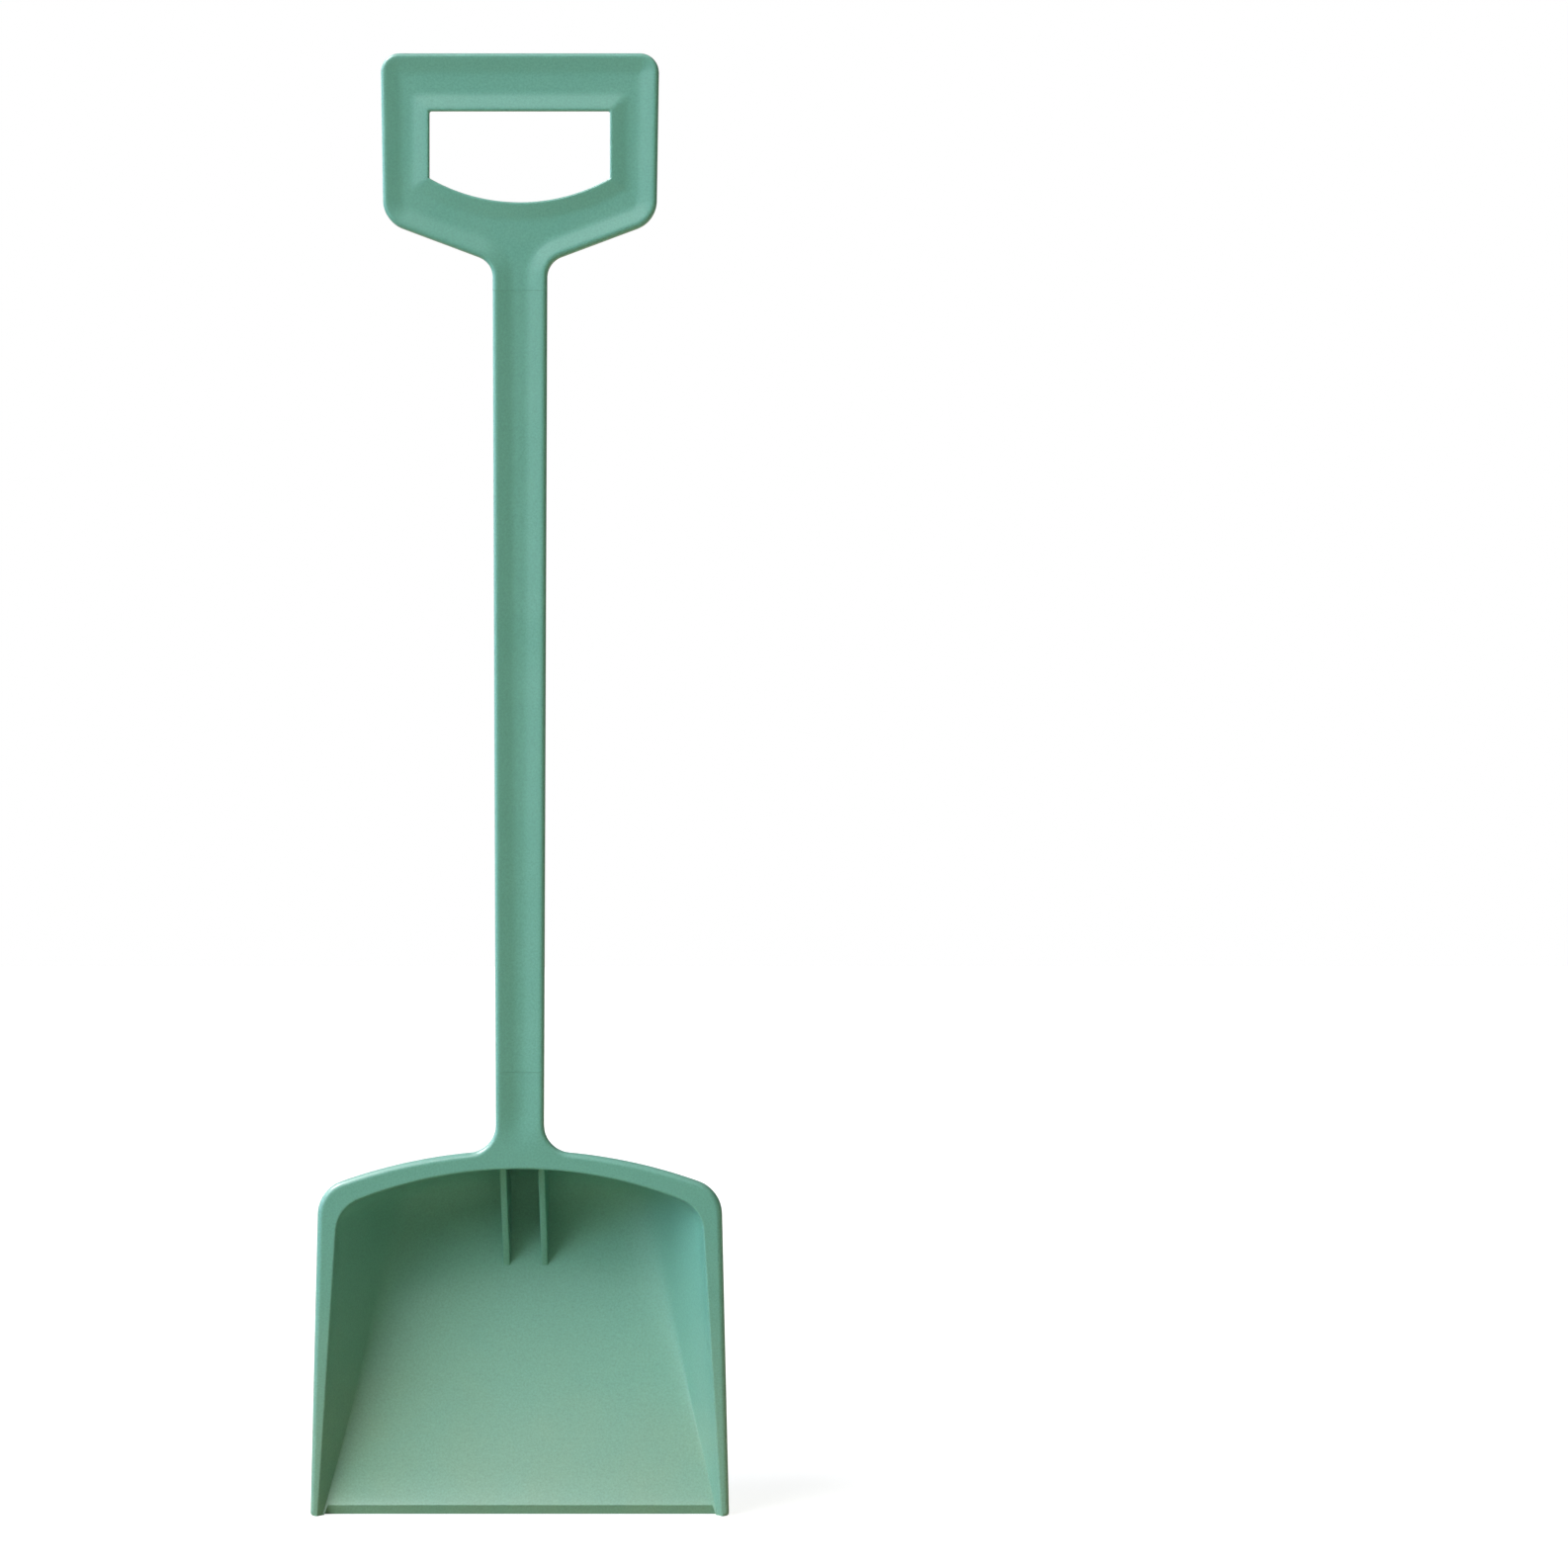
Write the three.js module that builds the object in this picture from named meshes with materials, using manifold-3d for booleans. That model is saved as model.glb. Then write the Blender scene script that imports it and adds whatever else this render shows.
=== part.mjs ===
// A toy snow shovel: a D grip, a trough-shaped shaft and a scoop, moulded separately and snapped together.
// Millimetres. +z points up along the shaft, -y is the open front and +x is the viewer's right.
// The origin is the middle of the underside of the grip's top bar, where the shovel hangs on a peg.

import * as THREE from 'three';
import { mergeVertices } from 'three/addons/utils/BufferGeometryUtils.js';
import Module from 'manifold-3d';

const wasm = await Module();
wasm.setup();

// Section shared by the grip, the shaft and the scoop's neck: depths from front to back, then edges
const troughDepth = 1.9;
const tongueWall = 4.1;
const jointGap = 0.3;
const saddleWall = 3.3;
const lipWidth = 2.4;
const lipRound = 1.8;
const troughRun = 7.8;
const backRise = 4.3;
const backRun = 7;

// Hand opening in the grip
const openingWidth = 86.4;
const openingSideHeight = 32.1;
const openingSag = 11.5;
const openingCornerRadius = 1;
const openingBackRound = 2.5;

// Bars of the D grip around its opening
const topBarHeight = 27.8;
const sideBarWidth = 23.5;
const sideBarLean = 1.3;
const lowBarHeight = 20.3;
const gripSlant = THREE.MathUtils.degToRad(20.5);
const gripTopRadius = 9;
const gripLowRadius = 14.5;
const gripNeckFillet = 10.5;
const gripNeckLength = 13.8;

// Shaft, between its two butt lines
const shaftLength = 374.3;
const shaftTopWidth = 26;
const shaftLowWidth = 23.1;

// Lap joints: a saddle behind each end of the shaft, with snap pips
const saddleLength = 36;
const saddleEndRadius = 6;
const pipRadius = 3;
const pipSink = 0.6;
const pipsPerJoint = 2;

// Scoop's neck and flat rim
const scoopNeckLength = 37.3;
const shoulderFillet = 13.5;
const scoopLength = 174.9;
const scoopTopWidth = 193.2;
const bladeWidth = 200.4;
const rimThickness = 4.2;
const rimLipRound = 3;
const rimBackRound = 0.8;
const rimArchRadius = 254;
const rimCornerRadius = 17;
const bladeCornerRadius = 1.5;
const troughRampRun = 11.4;
const troughEndRadius = 6;
const troughEndMargin = 1.2;

// Pan
const mouthArchRadius = 199;
const rimWidthAtArch = 8.9;
const rimWidthAtCorner = 10.2;
const rimWidthAtBlade = 4;
const mouthCornerRadius = 17;
const mouthRound = 1;
const panWall = 2.8;
const floorDepthAtBlade = 3.2;
const floorSlope = THREE.MathUtils.degToRad(21.5);
const sideFlare = THREE.MathUtils.degToRad(27);
const topDraft = THREE.MathUtils.degToRad(5);
const wallBlend = 0.42;
const sideBlendRun = 22;
const topBlendRun = 50;

// Blade bevel and gussets
const bevelHeight = 5.5;
const bladeEdgeThickness = 1;
const gussetSpacing = 18.6;
const gussetThickness = 3.2;
const gussetTopDepth = 18;
const gussetLength = 51.5;

// Fineness of the curves
const cornerSteps = 7;
const archSteps = 6;
const roundSteps = 4;
const blendSteps = 7;
const sagSteps = 14;
const pipSides = 24;

const overshoot = 1;
const leastRadius = 0.05;

// Share of an edge that a corner's rounding may take, with and without a rounded neighbour
const sharedReach = 0.49;
const fullReach = 0.98;

// Widths of the grip, and heights along the shaft
const gripTopWidth = openingWidth + 2 * sideBarWidth;
const gripLowWidth = gripTopWidth - 2 * sideBarLean;
const gripTopZ = topBarHeight;
const gripLowZ = -openingSideHeight - lowBarHeight;
const halfWidthAtNeck = shaftTopWidth / 2;
const gripNeckZ = gripLowZ - (gripLowWidth / 2 - halfWidthAtNeck) * Math.tan(gripSlant);
const shaftTopZ = gripNeckZ - gripNeckLength;
const shaftLowZ = shaftTopZ - shaftLength;
const archTopZ = shaftLowZ - scoopNeckLength;
const bladeZ = archTopZ - scoopLength;
const mouthTopZ = archTopZ - rimWidthAtArch;
const upperSaddleZ = shaftTopZ - saddleLength;
const lowerSaddleZ = shaftLowZ + saddleLength;

// Depths through the section, and the pan's floor measured square to the rim
const sectionDepth = troughDepth + tongueWall + jointGap + saddleWall;
const frontY = -sectionDepth / 2;
const backY = sectionDepth / 2;
const troughY = frontY + troughDepth;
const lapY = backY - saddleWall;
const floorWall = panWall / Math.cos(floorSlope);

// Half width of the shaft and necks at a height: both sides follow one straight taper.
function shaftHalfWidth(z) {
  const along = (shaftTopZ - z) / shaftLength;
  return THREE.MathUtils.lerp(shaftTopWidth, shaftLowWidth, along) / 2;
}

// Depth of the pan's floor below the rim's face, which grows from the blade towards the shaft.
function floorDepth(z) {
  return floorDepthAtBlade + (z - bladeZ) * Math.tan(floorSlope);
}

function corner(x, z, radius = 0, growth = 1) {
  return { x, z, radius, growth };
}

function mirrored(corners) {
  return corners.map((c) => ({ ...c, x: -c.x })).reverse();
}

// An outline of straight edges and rounded corners, counter-clockwise from the front, as points [x, z].
// Each edge can be moved inwards by its own amount. A corner's growth says how far its radius follows that.
function roundedOutline(corners, insetOf = () => 0) {
  const count = corners.length;
  const edges = corners.map((from, i) => {
    const to = corners[(i + 1) % count];
    const along = new THREE.Vector2(to.x - from.x, to.z - from.z).normalize();
    const inset = insetOf(i);
    const point = new THREE.Vector2(from.x - along.y * inset, from.z + along.x * inset);
    return { along, inset, point };
  });
  const moved = corners.map((c, i) => crossing(edges[(i + count - 1) % count], edges[i]));
  return corners.flatMap((c, i) => {
    const before = edges[(i + count - 1) % count];
    const after = edges[i];
    if (c.radius === 0) return [moved[i].toArray()];
    const turn = Math.atan2(before.along.cross(after.along), before.along.dot(after.along));
    const side = Math.sign(turn);
    const inset = (before.inset + after.inset) / 2;
    const room = Math.min(...[count - 1, 1].map((step) => {
      const neighbour = (i + step) % count;
      return moved[i].distanceTo(moved[neighbour]) * (corners[neighbour].radius > 0 ? sharedReach : fullReach);
    }));
    const tangent = Math.tan(Math.abs(turn) / 2);
    const wanted = Math.max(c.radius - side * c.growth * inset, leastRadius);
    const radius = Math.min(wanted, room / tangent);
    const start = moved[i].clone().addScaledVector(before.along, -radius * tangent);
    const centre = new THREE.Vector2(-before.along.y, before.along.x).multiplyScalar(side * radius).add(start);
    return Array.from({ length: cornerSteps + 1 }, (_, k) => (
      start.clone().rotateAround(centre, (turn * k) / cornerSteps).toArray()
    ));
  });
}

// Where two edges' lines cross
function crossing(first, second) {
  const span = second.point.clone().sub(first.point);
  const reach = span.cross(second.along) / first.along.cross(second.along);
  return first.point.clone().addScaledVector(first.along, reach);
}

// A level of a stack: an outline at one depth, or at a depth that depends on the height z
function level(outline, depth) {
  const depthAt = typeof depth === 'function' ? depth : () => depth;
  return outline.map(([x, z]) => new THREE.Vector3(x, depthAt(z), z));
}

// A solid through a stack of levels that all have the same number of points, with flat ends
function stack(levels) {
  const count = levels[0].length;
  const triangles = [];
  for (let row = 0; row + 1 < levels.length; row += 1) {
    for (let i = 0; i < count; i += 1) {
      const a = row * count + i;
      const b = row * count + ((i + 1) % count);
      triangles.push([a, b, b + count], [a, b + count, a + count]);
    }
  }
  const flat = (points) => points.map((p) => new THREE.Vector2(p.x, p.z));
  const last = (levels.length - 1) * count;
  for (const [a, b, c] of THREE.ShapeUtils.triangulateShape(flat(levels[0]), [])) triangles.push([a, c, b]);
  for (const [a, b, c] of THREE.ShapeUtils.triangulateShape(flat(levels.at(-1)), [])) {
    triangles.push([last + a, last + b, last + c]);
  }
  const geometry = new THREE.BufferGeometry();
  geometry.setAttribute('position', new THREE.Float32BufferAttribute(
    levels.flat().flatMap((p) => p.toArray()), 3));
  geometry.setIndex(triangles.flatMap(([a, b, c]) => [a, c, b]));
  return solid(geometry);
}

// A closed geometry as a solid that can be joined and cut
function solid(geometry) {
  const bare = geometry.clone();
  bare.deleteAttribute('normal');
  bare.deleteAttribute('uv');
  const merged = mergeVertices(bare, 1e-4);
  return new wasm.Manifold(new wasm.Mesh({
    numProp: 3,
    vertProperties: new Float32Array(merged.attributes.position.array),
    triVerts: new Uint32Array(merged.index.array),
  }));
}

function box(width, fromY, toY, fromZ, toZ) {
  const geometry = new THREE.BoxGeometry(width, toY - fromY, toZ - fromZ);
  geometry.translate(0, (fromY + toY) / 2, (fromZ + toZ) / 2);
  return solid(geometry);
}

// Rounded front lip and rounded back of a moulded edge, as pairs of inset and depth.
// The lip's rounding takes no more than the depth that the back leaves.
function edgeProfile(lip, backInset, backHeight, rearY) {
  const profile = [];
  const radius = Math.min(lip, rearY - backHeight - frontY);
  for (let k = 0; k <= roundSteps; k += 1) {
    const angle = (k / roundSteps) * (Math.PI / 2);
    profile.push([radius * (1 - Math.sin(angle)), frontY + radius * (1 - Math.cos(angle))]);
  }
  for (let k = 0; k <= roundSteps; k += 1) {
    const angle = (k / roundSteps) * (Math.PI / 2);
    profile.push([backInset * (1 - Math.cos(angle)), rearY - backHeight * (1 - Math.sin(angle))]);
  }
  return profile;
}

// A full-depth body with the shared section along its edges, apart from the edges that are cut square
function sectionBody(corners, isSquare) {
  const profile = edgeProfile(lipRound, backRun, backRise, backY);
  return stack(profile.map(([inset, y]) => (
    level(roundedOutline(corners, (edge) => (isSquare(edge) ? 0 : inset)), y)
  )));
}

// How far the trough's sloping side lies from the body's edge at a depth
function troughInset(y) {
  return lipWidth + ((y - frontY) / troughDepth) * troughRun;
}

// The trough's hollow, as a solid to cut away; insetAt gives each edge's inset at a depth
function troughHollow(corners, insetAt) {
  return stack([frontY - overshoot, troughY].map((y) => (
    level(roundedOutline(corners, (edge) => insetAt(edge, y)), y)
  )));
}

// The widest inset that still leaves the trough a floor on the narrowest stretch of the shaft
function shaftTroughInset(y) {
  const narrowest = Math.min(shaftTopWidth, shaftLowWidth) / 2;
  return Math.min(troughInset(y), narrowest - lipWidth / 2);
}

// Heights of the pips on one lap joint, spaced evenly along its saddle
function pipHeights(buttZ, endZ) {
  return Array.from({ length: pipsPerJoint }, (_, i) => (
    THREE.MathUtils.lerp(buttZ, endZ, (i + 1) / (pipsPerJoint + 1))
  ));
}

function pip(radius, fromY, toY, z) {
  const geometry = new THREE.CylinderGeometry(radius, radius, toY - fromY, pipSides);
  geometry.translate(0, (fromY + toY) / 2, z);
  return solid(geometry);
}

// What a neck loses to the shaft's end: everything in front of its saddle, and the pips' holes
function cutLap(body, buttZ, endZ) {
  const [low, high] = [buttZ, endZ + Math.sign(endZ - buttZ) * overshoot].sort((a, b) => a - b);
  const width = Math.max(shaftTopWidth, shaftLowWidth) + 2 * overshoot;
  let result = body.subtract(box(width, frontY - overshoot, lapY, low, high));
  for (const z of pipHeights(buttZ, endZ)) {
    result = result.subtract(pip(pipRadius + jointGap, lapY - overshoot, backY + overshoot, z));
  }
  return result;
}

// D grip: ring, neck and upper saddle
function gripCorners(endZ, endRadius) {
  const right = [
    corner(shaftHalfWidth(endZ), endZ, endRadius),
    corner(shaftHalfWidth(gripNeckZ), gripNeckZ, gripNeckFillet),
    corner(gripLowWidth / 2, gripLowZ, gripLowRadius),
    corner(gripTopWidth / 2, gripTopZ, gripTopRadius),
  ];
  return [...right, ...mirrored(right)];
}

function openingCorners() {
  const half = openingWidth / 2;
  const radius = (half ** 2 + openingSag ** 2) / (2 * openingSag);
  const centreZ = radius - openingSideHeight - openingSag;
  const sweep = Math.asin(half / radius);
  const sag = Array.from({ length: sagSteps - 1 }, (_, i) => {
    const angle = THREE.MathUtils.lerp(-sweep, sweep, (i + 1) / sagSteps);
    return corner(radius * Math.sin(angle), centreZ - radius * Math.cos(angle));
  });
  return [
    corner(half, -openingSideHeight, openingCornerRadius, 0),
    corner(half, 0, openingCornerRadius, 0),
    corner(-half, 0, openingCornerRadius, 0),
    corner(-half, -openingSideHeight, openingCornerRadius, 0),
    ...sag,
  ];
}

function buildGrip() {
  const corners = gripCorners(upperSaddleZ, saddleEndRadius);
  const endEdge = corners.length - 1;
  const blank = sectionBody(corners, (edge) => edge === endEdge);
  const opening = openingCorners();
  const widened = (outset, y) => level(roundedOutline(opening, () => -outset), y);
  const profile = edgeProfile(lipRound, openingBackRound, openingBackRound, backY);
  const hole = stack([
    widened(lipRound, frontY - overshoot),
    ...profile.map(([outset, y]) => widened(outset, y)),
    widened(openingBackRound, backY + overshoot),
  ]);
  const troughCorners = gripCorners(upperSaddleZ, 0);
  const hollow = troughHollow(troughCorners, (edge, y) => {
    if (edge === endEdge) return -overshoot;
    return shaftTroughInset(y);
  });
  const island = stack([frontY - 2 * overshoot, troughY + overshoot].map((y) => widened(troughInset(y), y)));
  return cutLap(blank.subtract(hole).subtract(hollow.subtract(island)), shaftTopZ, upperSaddleZ);
}

// Shaft: the trough section, rebated at the back of both ends for the saddles
function shaftCorners(topZ, lowZ, radius = 0) {
  return [
    corner(shaftHalfWidth(lowZ), lowZ, radius),
    corner(shaftHalfWidth(topZ), topZ, radius),
    corner(-shaftHalfWidth(topZ), topZ, radius),
    corner(-shaftHalfWidth(lowZ), lowZ, radius),
  ];
}

function saddleRecess(buttZ, endZ) {
  const beyond = buttZ + Math.sign(buttZ - endZ) * saddleLength;
  const [topZ, lowZ] = [Math.max(beyond, endZ), Math.min(beyond, endZ)];
  const corners = shaftCorners(topZ, lowZ, saddleEndRadius);
  const outline = roundedOutline(corners, (edge) => (edge % 2 === 0 ? -overshoot : -jointGap));
  return stack([level(outline, lapY - jointGap), level(outline, backY + overshoot)]);
}

function buildShaft() {
  const corners = shaftCorners(shaftTopZ - jointGap, shaftLowZ + jointGap);
  const isEnd = (edge) => edge % 2 === 1;
  let shaft = sectionBody(corners, isEnd);
  shaft = shaft.subtract(troughHollow(corners, (edge, y) => (isEnd(edge) ? -overshoot : shaftTroughInset(y))));
  for (const [buttZ, endZ] of [[shaftTopZ, upperSaddleZ], [shaftLowZ, lowerSaddleZ]]) {
    shaft = shaft.subtract(saddleRecess(buttZ, endZ));
    for (const z of pipHeights(buttZ, endZ)) {
      shaft = shaft.add(pip(pipRadius, lapY - jointGap - tongueWall / 2, backY - pipSink, z));
    }
  }
  return shaft;
}

// Points along an arch, from the right end to the left one, without the ends
function archCorners(radius, topZ, halfSpan) {
  const sweep = Math.asin(halfSpan / radius);
  return Array.from({ length: 2 * archSteps - 1 }, (_, i) => {
    const angle = THREE.MathUtils.lerp(sweep, -sweep, (i + 1) / (2 * archSteps));
    return corner(radius * Math.sin(angle), archHeight(radius, topZ, radius * Math.sin(angle)));
  });
}

function archHeight(radius, topZ, x) {
  return topZ - radius + Math.sqrt(radius ** 2 - x ** 2);
}

// Flat rim: arch, rounded upper corners and sides that spread towards the blade, with the shoulders of the neck
function rimCorners() {
  const half = scoopTopWidth / 2;
  const shoulderX = shaftHalfWidth(archTopZ);
  const shoulderAngle = Math.asin(shoulderX / rimArchRadius);
  const cornerAngle = Math.asin(half / rimArchRadius);
  const arch = Array.from({ length: archSteps - 1 }, (_, i) => {
    const angle = THREE.MathUtils.lerp(cornerAngle, shoulderAngle, (i + 1) / archSteps);
    const x = rimArchRadius * Math.sin(angle);
    return corner(x, archHeight(rimArchRadius, archTopZ, x));
  });
  const right = [
    corner(bladeWidth / 2, bladeZ, bladeCornerRadius),
    corner(half, archHeight(rimArchRadius, archTopZ, half), rimCornerRadius),
    ...arch,
    corner(shoulderX, archHeight(rimArchRadius, archTopZ, shoulderX), shoulderFillet),
    corner(shaftHalfWidth(shaftLowZ), shaftLowZ),
  ];
  return [...right, ...mirrored(right)];
}

function buildRim() {
  const corners = rimCorners();
  const neckEdge = corners.length / 2 - 1;
  const bladeEdge = corners.length - 1;
  const profile = edgeProfile(rimLipRound, rimBackRound, rimBackRound, frontY + rimThickness);
  return stack(profile.map(([inset, y]) => (
    level(roundedOutline(corners, (edge) => (edge === neckEdge || edge === bladeEdge ? 0 : inset)), y)
  )));
}

// The scoop's neck and lower saddle, from half-way through the pan's top wall up behind the shaft
function buildNeck() {
  const footZ = mouthTopZ + panWall / 2;
  const corners = [
    corner(shaftHalfWidth(footZ), footZ),
    corner(shaftHalfWidth(lowerSaddleZ), lowerSaddleZ, saddleEndRadius),
  ];
  return sectionBody([...corners, ...mirrored(corners)], (edge) => edge % 2 === 1);
}

// Corners of the pan's hollow at a share of its depth; blend is how far the wall has run out onto the floor
function panCorners(share, blend, endZ) {
  const cornerX = scoopTopWidth / 2 - rimWidthAtCorner;
  const cornerZ = archHeight(mouthArchRadius, mouthTopZ, cornerX);
  const bladeX = bladeWidth / 2 - rimWidthAtBlade;
  const deepest = floorDepth(cornerZ);
  const sideX = (x, z) => {
    const depth = floorDepth(z);
    return x - share * depth * Math.tan(sideFlare) - blend * sideBlendRun * (depth / deepest);
  };
  const topX = sideX(cornerX, cornerZ);
  const drop = share * deepest * Math.tan(topDraft) + blend * topBlendRun;
  const spread = (bladeX - cornerX) / (cornerZ - bladeZ);
  const right = [
    corner(sideX(bladeX + (bladeZ - endZ) * spread, endZ), endZ),
    corner(topX, archHeight(mouthArchRadius, mouthTopZ, topX) - drop, mouthCornerRadius, 0),
  ];
  const arch = archCorners(mouthArchRadius, mouthTopZ - drop, topX);
  return [...right, ...arch, ...mirrored(right)];
}

// Levels of the pan from below its mouth to its floor; outset and extra make the outside from the inside
function panLevels(outset, extra, endZ) {
  const steps = [[0, 0]];
  for (let k = 0; k <= blendSteps; k += 1) {
    const t = k / blendSteps;
    steps.push([1 - wallBlend * (1 - t) ** 2, t ** 2]);
  }
  return steps.map(([share, blend]) => {
    const corners = panCorners(share, blend, endZ);
    const bladeEdge = corners.length - 1;
    const outline = roundedOutline(corners, (edge) => (edge === bladeEdge ? 0 : -outset));
    const behind = share > 0 ? extra : 0;
    return level(outline, (z) => frontY + mouthRound + share * (floorDepth(z) - mouthRound) + behind);
  });
}

function buildPanHollow() {
  const endZ = bladeZ - 2 * overshoot;
  const corners = panCorners(0, 0, endZ);
  const widened = (outset, y) => level(roundedOutline(corners, () => -outset), y);
  const mouth = [widened(mouthRound, frontY - overshoot)];
  for (let k = 0; k < roundSteps; k += 1) {
    const angle = (k / roundSteps) * (Math.PI / 2);
    mouth.push(widened(mouthRound * (1 - Math.sin(angle)), frontY + mouthRound * (1 - Math.cos(angle))));
  }
  return stack([...mouth, ...panLevels(0, 0, endZ)]);
}

// The bevel along the blade's front edge, as the solid that is planed off to leave the edge its thickness
function buildBevel() {
  const half = bladeWidth / 2 - rimWidthAtBlade - floorDepthAtBlade * Math.tan(sideFlare);
  const start = new THREE.Vector2(bladeZ + bevelHeight, frontY + floorDepth(bladeZ + bevelHeight));
  const edge = new THREE.Vector2(bladeZ, frontY + floorDepthAtBlade + floorWall - bladeEdgeThickness);
  const beyond = edge.clone().addScaledVector(edge.clone().sub(start).normalize(), overshoot);
  const profile = new THREE.Shape([
    start,
    beyond,
    new THREE.Vector2(beyond.x, frontY - overshoot),
    new THREE.Vector2(start.x, frontY - overshoot),
  ]);
  return slab(profile, 2 * half);
}

// A profile drawn as (z, y) points, given a thickness along x about a middle plane
function slab(profile, thickness, middleX = 0) {
  const geometry = new THREE.ExtrudeGeometry(profile, { depth: thickness, bevelEnabled: false });
  geometry.translate(0, 0, -thickness / 2);
  geometry.rotateY(-Math.PI / 2);
  geometry.translate(middleX, 0, 0);
  return solid(geometry);
}

// The two gussets between the top wall and the floor, in line with the shaft's edges
function buildGussets(panOutside) {
  const topZ = mouthTopZ + panWall;
  const footZ = mouthTopZ - gussetLength;
  const profile = new THREE.Shape([
    new THREE.Vector2(topZ, frontY + gussetTopDepth - panWall * (gussetTopDepth / gussetLength)),
    new THREE.Vector2(footZ, frontY + floorDepth(footZ)),
    new THREE.Vector2(footZ, frontY + floorDepth(topZ) + panWall),
    new THREE.Vector2(topZ, frontY + floorDepth(topZ) + panWall),
  ]);
  const one = (side) => slab(profile, gussetThickness, (side * gussetSpacing) / 2);
  return one(-1).add(one(1)).intersect(panOutside);
}

function buildScoop() {
  const panOutside = stack(panLevels(panWall, floorWall, bladeZ));
  const neck = buildNeck();
  const troughCorners = shaftCorners(lowerSaddleZ, archTopZ + troughEndMargin, 0);
  const troughEnd = troughCorners.length - 1;
  troughCorners[0].radius = troughEndRadius;
  troughCorners[troughEnd].radius = troughEndRadius;
  const hollow = troughHollow(troughCorners, (edge, y) => {
    if (edge === troughEnd) return ((y - frontY) / troughDepth) * troughRampRun;
    return edge === 1 ? -overshoot : shaftTroughInset(y);
  });
  const shell = buildRim().add(neck).add(panOutside).subtract(buildPanHollow());
  const dressed = shell.add(buildGussets(panOutside)).subtract(buildBevel()).subtract(hollow);
  return cutLap(dressed, shaftLowZ, lowerSaddleZ);
}

// A finished solid as a mesh with its own plastic
function moulding(name, body, colour) {
  const { vertProperties, triVerts } = body.getMesh();
  const geometry = new THREE.BufferGeometry();
  geometry.setAttribute('position', new THREE.Float32BufferAttribute(vertProperties, 3));
  geometry.setIndex(Array.from(triVerts));
  geometry.computeVertexNormals();
  const plastic = new THREE.MeshStandardMaterial({ color: colour, roughness: 0.5, metalness: 0 });
  const mesh = new THREE.Mesh(geometry, plastic);
  mesh.name = name;
  return mesh;
}

const sageGreen = 0x6ea28a;

const shovel = new THREE.Group();
shovel.add(moulding('d_grip', buildGrip(), sageGreen));
shovel.add(moulding('shaft', buildShaft(), sageGreen));
shovel.add(moulding('scoop', buildScoop(), sageGreen));

export default shovel;
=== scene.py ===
"""A child's moulded plastic snow shovel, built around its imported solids.

Three mouldings, a D grip, a shaft and a scoop, share one shallow trough section and meet in lap joints.
All lengths are in metres. +z points up along the shaft, and the open front faces -y.
"""

import math
from collections import namedtuple

import bmesh
import bpy
import numpy as np
from mathutils import Matrix, Vector


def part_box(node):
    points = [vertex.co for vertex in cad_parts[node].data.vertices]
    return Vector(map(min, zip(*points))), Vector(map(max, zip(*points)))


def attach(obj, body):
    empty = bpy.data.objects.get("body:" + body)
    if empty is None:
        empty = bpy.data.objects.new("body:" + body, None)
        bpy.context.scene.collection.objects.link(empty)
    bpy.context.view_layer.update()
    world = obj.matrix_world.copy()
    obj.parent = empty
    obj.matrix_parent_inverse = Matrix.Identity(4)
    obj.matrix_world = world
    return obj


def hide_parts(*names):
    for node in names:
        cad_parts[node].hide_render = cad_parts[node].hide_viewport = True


bl_info = {
    "name": "Toy Snow Shovel",
    "version": (1, 0, 0),
    "blender": (4, 5, 0),
    "location": "View3D > Sidebar > Shovel",
    "description": "Builds a moulded plastic snow shovel around its packed solids",
    "category": "Add Mesh",
}

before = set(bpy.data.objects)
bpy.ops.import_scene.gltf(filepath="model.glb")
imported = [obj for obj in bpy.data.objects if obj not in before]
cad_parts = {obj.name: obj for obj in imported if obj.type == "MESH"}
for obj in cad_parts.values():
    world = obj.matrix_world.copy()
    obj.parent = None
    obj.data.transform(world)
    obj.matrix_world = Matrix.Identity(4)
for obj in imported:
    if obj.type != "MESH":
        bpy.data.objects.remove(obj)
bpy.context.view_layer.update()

MM = 0.001
BODY = "root"

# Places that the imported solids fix
GRIP_LOW, GRIP_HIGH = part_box("d_grip")
SHAFT_LOW, SHAFT_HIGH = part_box("shaft")
SCOOP_LOW, SCOOP_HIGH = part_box("scoop")
FRONT_Y = GRIP_LOW.y
BACK_Y = GRIP_HIGH.y
GRIP_TOP_Z = GRIP_HIGH.z
UPPER_TAB_Z = GRIP_LOW.z
LOWER_TAB_Z = SCOOP_HIGH.z
BLADE_Z = SCOOP_LOW.z

# Fineness of the meshes
ARC_STEPS = 14
LIP_STEPS = 8
LIP_FLAT_STEPS = 6
SLOPE_STEPS = 4
SLOPE_FOOT_STEPS = 12
BACK_ROUND_STEPS = 16
SAG_STEPS = 40
PIP_STEPS = 24
BLADE_STEPS = 5
SIDE_STEPS = 24
ARCH_STEPS = 30
SHOULDER_STEPS = 16
NECK_STEPS = 22
FLAT_STEPS = 34
MOUTH_STEPS = 4
BACK_STEPS = 6
WALL_STEPS = 6
FILLET_STEPS = 12
ROUNDING_SEGMENTS = 3
MERGE_DISTANCE = 2e-6
SHARP_ANGLE = math.radians(32)

# Section: reach of the fine steps across a lip, in lip widths, and start of the back's steps, in lap insets
LIP_REACH = 1.25
LAP_CLEAR = 1.5

# How steeply the section's back falls away beyond its edge, and the least radius of a corner moved inwards
EDGE_FALL = 2.5
LEAST_RADIUS = 1.2 * MM

# Hand opening: how far its corners' radius follows the inset, and the curve of its back's bevel
OPENING_GROWTH = 0.3
OPENING_CURVE = 1.6

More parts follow.
